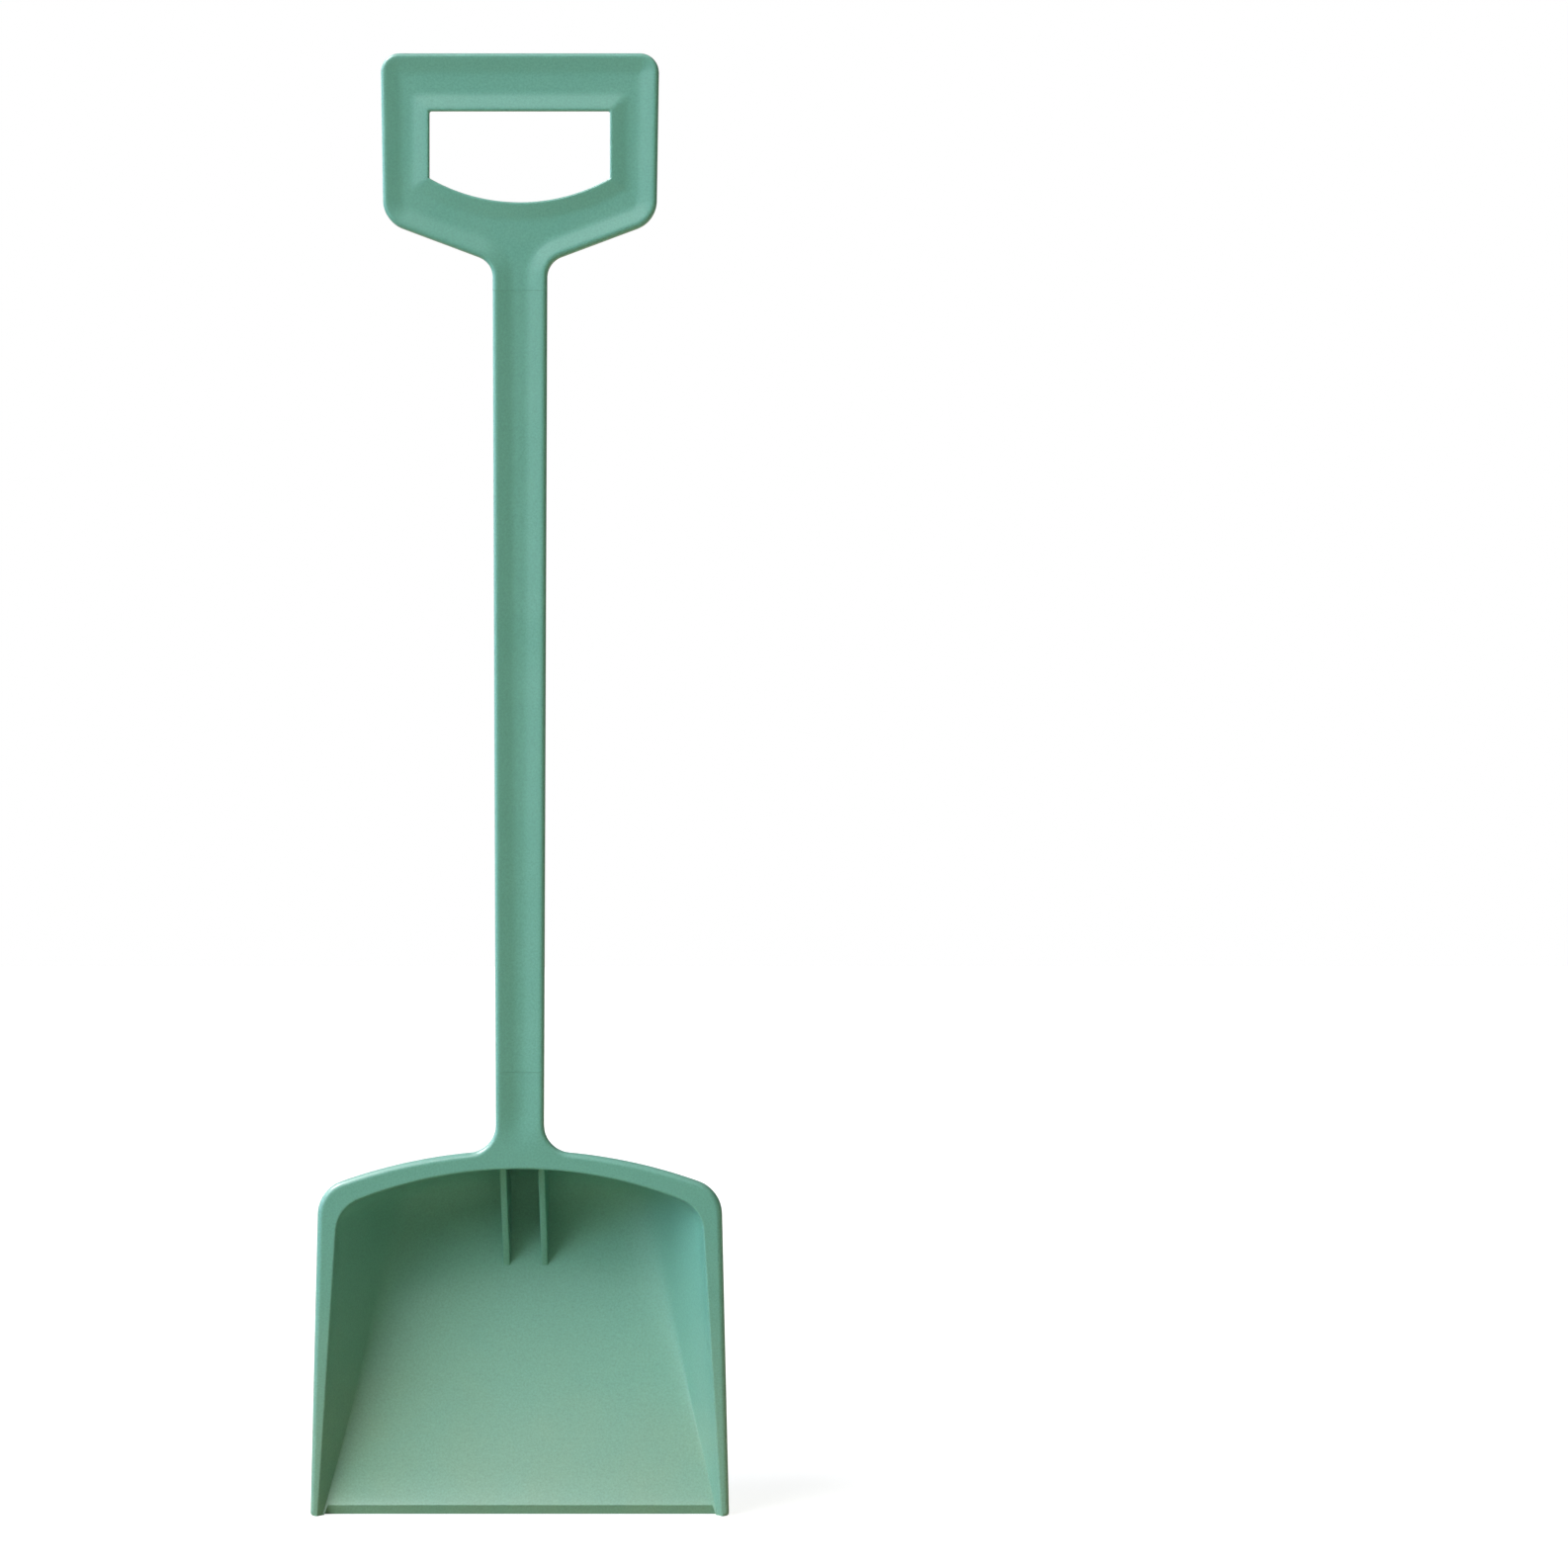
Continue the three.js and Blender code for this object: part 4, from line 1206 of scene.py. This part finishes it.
def plastic_group(values):
    """A shader group that varies a moulded plastic's colour, roughness and height."""
    name = "Moulded plastic"
    if name in bpy.data.node_groups:
        return bpy.data.node_groups[name]
    tree = bpy.data.node_groups.new(name, "ShaderNodeTree")
    tree.interface.new_socket("Vector", in_out="INPUT", socket_type="NodeSocketVector")
    add_sockets(tree, values)
    tree.interface.new_socket("Colour", in_out="OUTPUT", socket_type="NodeSocketColor")
    tree.interface.new_socket("Roughness", in_out="OUTPUT", socket_type="NodeSocketFloat")
    tree.interface.new_socket("Height", in_out="OUTPUT", socket_type="NodeSocketFloat")
    given = tree.nodes.new("NodeGroupInput").outputs
    blotch = noise(tree, given["Vector"], given["Mottle Size"], BLOTCHES)
    grain = noise(tree, given["Vector"], given["Grain Size"], GRAIN)
    position = put(tree, "ShaderNodeTexCoord").outputs["Object"]
    place = put(tree, "ShaderNodeSeparateXYZ", {0: position}).outputs

    # Colour: blotches, a painted sheen that grows towards the blade in place of the whitish reflection
    # there, and fine flecks
    blotched = mixed(tree, blotch, given["Colour"], given["Mottle Colour"])
    sheen_ramp = smooth_range(tree, {
        "Value": place["Z"],
        "From Min": given["Painted Sheen Top"],
        "From Max": BLADE_Z,
        "To Max": given["Painted Sheen Amount"]})
    patchy = math_node(tree, "ADD", blotch, NOISE_MEAN)
    thickness = math_node(tree, "MULTIPLY", sheen_ramp, patchy)
    sheened = mixed(tree, thickness, blotched, given["Painted Sheen Colour"])
    speckle = math_node(tree, "MULTIPLY", math_node(tree, "SUBTRACT", grain, NOISE_MEAN), given["Speckle"])
    flecked = put(tree, "ShaderNodeHueSaturation", {
        "Color": sheened, "Value": math_node(tree, "ADD", speckle, 1.0)})

    # Roughness: it sways with the blotches and grows inside the pan
    sway = math_node(tree, "MULTIPLY", math_node(tree, "SUBTRACT", blotch, NOISE_MEAN), ROUGHNESS_SWAY)
    scuff = smooth_range(tree, {"Value": place["Y"], "To Max": given["Scuff"], **SCUFF})
    plain = math_node(tree, "ADD", given["Roughness"], sway)
    put(tree, "NodeGroupOutput", {
        "Colour": flecked.outputs["Color"],
        "Roughness": math_node(tree, "ADD", plain, scuff),
        "Height": grain})
    return tree


def plastic(name, look, green, offset):
    """Satin plastic of some green; the offset keeps the blotches of different mouldings apart."""
    values = {
        "Colour": (*green, 1.0),
        "Mottle Colour": (*look.pale_sage, 1.0),
        "Mottle Size": look.mottle_size,
        "Grain Size": look.grain_size,
        "Speckle": look.speckle,
        "Roughness": look.roughness,
        "Scuff": look.scuff,
        # Painted sheen towards the blade, standing in for the whitish reflection on the lit pan floor
        "Painted Sheen Colour": (*look.painted_sheen, 1.0),
        "Painted Sheen Amount": look.painted_sheen_amount,
        "Painted Sheen Top": BLADE_Z + look.painted_sheen_height,
    }
    material = bpy.data.materials.new(name)
    tree = emptied_tree(material)
    position = put(tree, "ShaderNodeTexCoord").outputs["Object"]
    place = put(tree, "ShaderNodeVectorMath", {0: position, 1: offset}, operation="ADD")
    given = {"Vector": place.outputs[0], **values}
    finish = put(tree, "ShaderNodeGroup", given, node_tree=plastic_group(values)).outputs
    bump = put(tree, "ShaderNodeBump", {
        "Height": finish["Height"], "Strength": GRAIN_STRENGTH, "Distance": look.grain_depth})
    surface = put(tree, "ShaderNodeBsdfPrincipled", {
        "Base Color": finish["Colour"],
        "Roughness": finish["Roughness"],
        "Normal": bump.outputs["Normal"],
        **GLOSS})
    put(tree, "ShaderNodeOutputMaterial", {"Surface": surface.outputs[0]})
    return material


class SHOVEL_OT_grip(bpy.types.Operator):
    """Build the D grip"""

    bl_idname = "shovel.grip"
    bl_label = "Grip"

    def execute(self, context):
        scene = context.scene
        shell = grip_shell(scene.shovel_section, scene.shovel_grip)
        look = scene.shovel_plastic
        # The grip takes the lit copy of the green: painted light from the cool window
        material = plastic("grip_plastic", look, look.lit_grip_sage, GRIP_PATTERN)
        finish_piece("d_grip_moulding", shell.mesh("d_grip_moulding"), "d_grip", material)
        return {"FINISHED"}


class SHOVEL_OT_shaft(bpy.types.Operator):
    """Build the shaft with its snap pips"""

    bl_idname = "shovel.shaft"
    bl_label = "Shaft"

    def execute(self, context):
        scene = context.scene
        look = scene.shovel_plastic
        material = plastic("shaft_plastic", look, look.sage, SHAFT_PATTERN)
        mesh = shaft_mesh(scene.shovel_section, material)
        finish_piece("shaft_moulding", mesh, "shaft", material)
        return {"FINISHED"}


class SHOVEL_OT_scoop(bpy.types.Operator):
    """Build the scoop and its gussets"""

    bl_idname = "shovel.scoop"
    bl_label = "Scoop"

    def execute(self, context):
        scene = context.scene
        section, scoop = scene.shovel_section, scene.shovel_scoop
        look = scene.shovel_plastic
        material = plastic("scoop_plastic", look, look.sage, SCOOP_PATTERN)
        shell = scoop_shell(section, scoop)
        finish_piece("scoop_moulding", shell.mesh("scoop_moulding"), "scoop", material)
        gussets = gusset_mesh(section, scoop, material)
        finish_piece("scoop_gussets", gussets, "scoop", material)
        return {"FINISHED"}


def stage_object(name, data):
    """Links an object that belongs to the stage."""
    item = bpy.data.objects.new(name, data)
    bpy.context.scene.collection.objects.link(item)
    return item


def aim(item, place, target):
    """Puts a light or the camera in place, turned towards a target."""
    item.location = place
    item.rotation_euler = (target - place).to_track_quat("-Z", "Y").to_euler()


def bright_side(tree, source, strength):
    """Brightness of one soft patch of the surround, full where it is seen straight towards its source."""
    seen = put(tree, "ShaderNodeTexCoord").outputs["Generated"]
    facing = put(tree, "ShaderNodeVectorMath", {0: seen, 1: source}, operation="DOT_PRODUCT")
    return smooth_range(tree, {
        "Value": facing.outputs["Value"], "From Min": PATCH_EDGE, "To Max": strength})


def white_world(ambient, tint, sheen, side_sheen):
    """A surround that looks white, lights the shovel faintly and shows in its sheen."""
    world = bpy.data.worlds.new("Surround")
    tree = emptied_tree(world)
    path = put(tree, "ShaderNodeLightPath").outputs
    seen = math_node(tree, "MULTIPLY", path["Is Camera Ray"], 1.0 - ambient)
    above = bright_side(tree, FROM_ABOVE, sheen)
    beside = bright_side(tree, FROM_LEFT, side_sheen)
    shine = math_node(tree, "MULTIPLY", path["Is Glossy Ray"], math_node(tree, "ADD", above, beside))
    strength = math_node(tree, "ADD", math_node(tree, "ADD", seen, shine), ambient)
    shown = math_node(tree, "MAXIMUM", path["Is Camera Ray"], path["Is Glossy Ray"])
    hue = mixed(tree, shown, (*tint, 1.0), WHITE)
    light = put(tree, "ShaderNodeBackground", {"Strength": strength, "Color": hue})
    put(tree, "ShaderNodeOutputWorld", {"Surface": light.outputs[0]})
    bpy.context.scene.world = world


def white_floor(shade, brightness, bounce):
    """A wide floor under the blade that looks white to the camera and keeps a faint shadow."""
    signs = ((-1, -1), (1, -1), (1, 1), (-1, 1))
    mesh = face_mesh("Floor", [(x * FLOOR_REACH, y * FLOOR_REACH, BLADE_Z) for x, y in signs])
    material = bpy.data.materials.new("White floor")
    tree = emptied_tree(material)
    seen = put(tree, "ShaderNodeLightPath").outputs["Is Camera Ray"]
    paint = put(tree, "ShaderNodeBsdfDiffuse", {"Color": mixed(tree, seen, (*bounce, 1.0), FLOOR_WHITE)})
    glow = put(tree, "ShaderNodeEmission", {"Color": WHITE, "Strength": brightness})
    kept = math_node(tree, "MULTIPLY", seen, 1.0 - shade)
    mix = put(tree, "ShaderNodeMixShader", {0: kept, 1: paint.outputs[0], 2: glow.outputs[0]})
    put(tree, "ShaderNodeOutputMaterial", {"Surface": mix.outputs[0]})
    mesh.materials.append(material)
    stage_object("Floor", mesh)


def sun_light(name, source, strength, softness, tint=WHITE[:3]):
    """A light as even as the sun's, from a direction."""
    data = bpy.data.lights.new(name, "SUN")
    data.energy = strength
    data.angle = softness
    data.color = tint
    item = stage_object(name, data)
    aim(item, Vector(source), Vector((0.0, 0.0, 0.0)))
    return item


class SHOVEL_OT_stage(bpy.types.Operator):
    """Set up the camera, the lights and the white surround"""

    bl_idname = "shovel.stage"
    bl_label = "Stage"

    def execute(self, context):
        stage = context.scene.shovel_stage
        middle = Vector((stage.camera_x, FRONT_Y, stage.camera_z))
        data = bpy.data.cameras.new("Camera")
        data.sensor_width = SENSOR_WIDTH
        data.lens = data.sensor_width * stage.camera_distance / stage.view_width
        camera = stage_object("Camera", data)
        aim(camera, middle - Vector((0.0, stage.camera_distance, 0.0)), middle)
        context.scene.camera = camera
        soft = stage.key_softness
        sun_light("Key", stage.key_direction, stage.key_strength, soft, stage.key_colour)
        glint = sun_light("Glint", GLINT_FROM, stage.glint, GLINT_WIDTH)
        glint.visible_diffuse = False
        rim_glint = sun_light("Rim glint", RIM_GLINT_FROM, stage.rim_glint, RIM_GLINT_WIDTH)
        rim_glint.visible_diffuse = False
        sun_light("Side", stage.side_direction, stage.side_strength, soft, stage.side_colour)
        back = sun_light("Back", stage.back_direction, stage.back_strength, soft)
        back.data.use_shadow = False
        white_world(stage.ambient, stage.ambient_colour, stage.sheen, stage.side_sheen)
        white_floor(stage.floor_shade, stage.floor_glow, stage.bounce_colour)
        context.scene.view_settings.view_transform = "Standard"
        return {"FINISHED"}


PIECES = (SHOVEL_OT_grip, SHOVEL_OT_shaft, SHOVEL_OT_scoop, SHOVEL_OT_stage)
GROUPS = {
    "shovel_section": ShovelSection,
    "shovel_grip": ShovelGrip,
    "shovel_scoop": ShovelScoop,
    "shovel_plastic": ShovelPlastic,
    "shovel_stage": ShovelStage,
}


class SHOVEL_PT_panel(bpy.types.Panel):
    """Lists the shovel's pieces"""

    bl_idname = "SHOVEL_PT_panel"
    bl_label = "Toy Snow Shovel"
    bl_space_type = "VIEW_3D"
    bl_region_type = "UI"
    bl_category = "Shovel"

    def draw(self, context):
        for piece in PIECES:
            self.layout.operator(piece.bl_idname)


def register():
    for group in GROUPS.values():
        bpy.utils.register_class(group)
    for name, group in GROUPS.items():
        setattr(bpy.types.Scene, name, bpy.props.PointerProperty(type=group))
    for piece in PIECES:
        bpy.utils.register_class(piece)
    bpy.utils.register_class(SHOVEL_PT_panel)


def unregister():
    bpy.utils.unregister_class(SHOVEL_PT_panel)
    for piece in reversed(PIECES):
        bpy.utils.unregister_class(piece)
    for name in GROUPS:
        delattr(bpy.types.Scene, name)
    for group in reversed(GROUPS.values()):
        bpy.utils.unregister_class(group)


def main():
    register()
    bpy.ops.shovel.grip()
    bpy.ops.shovel.shaft()
    bpy.ops.shovel.scoop()
    bpy.ops.shovel.stage()


if __name__ == "__main__":
    main()
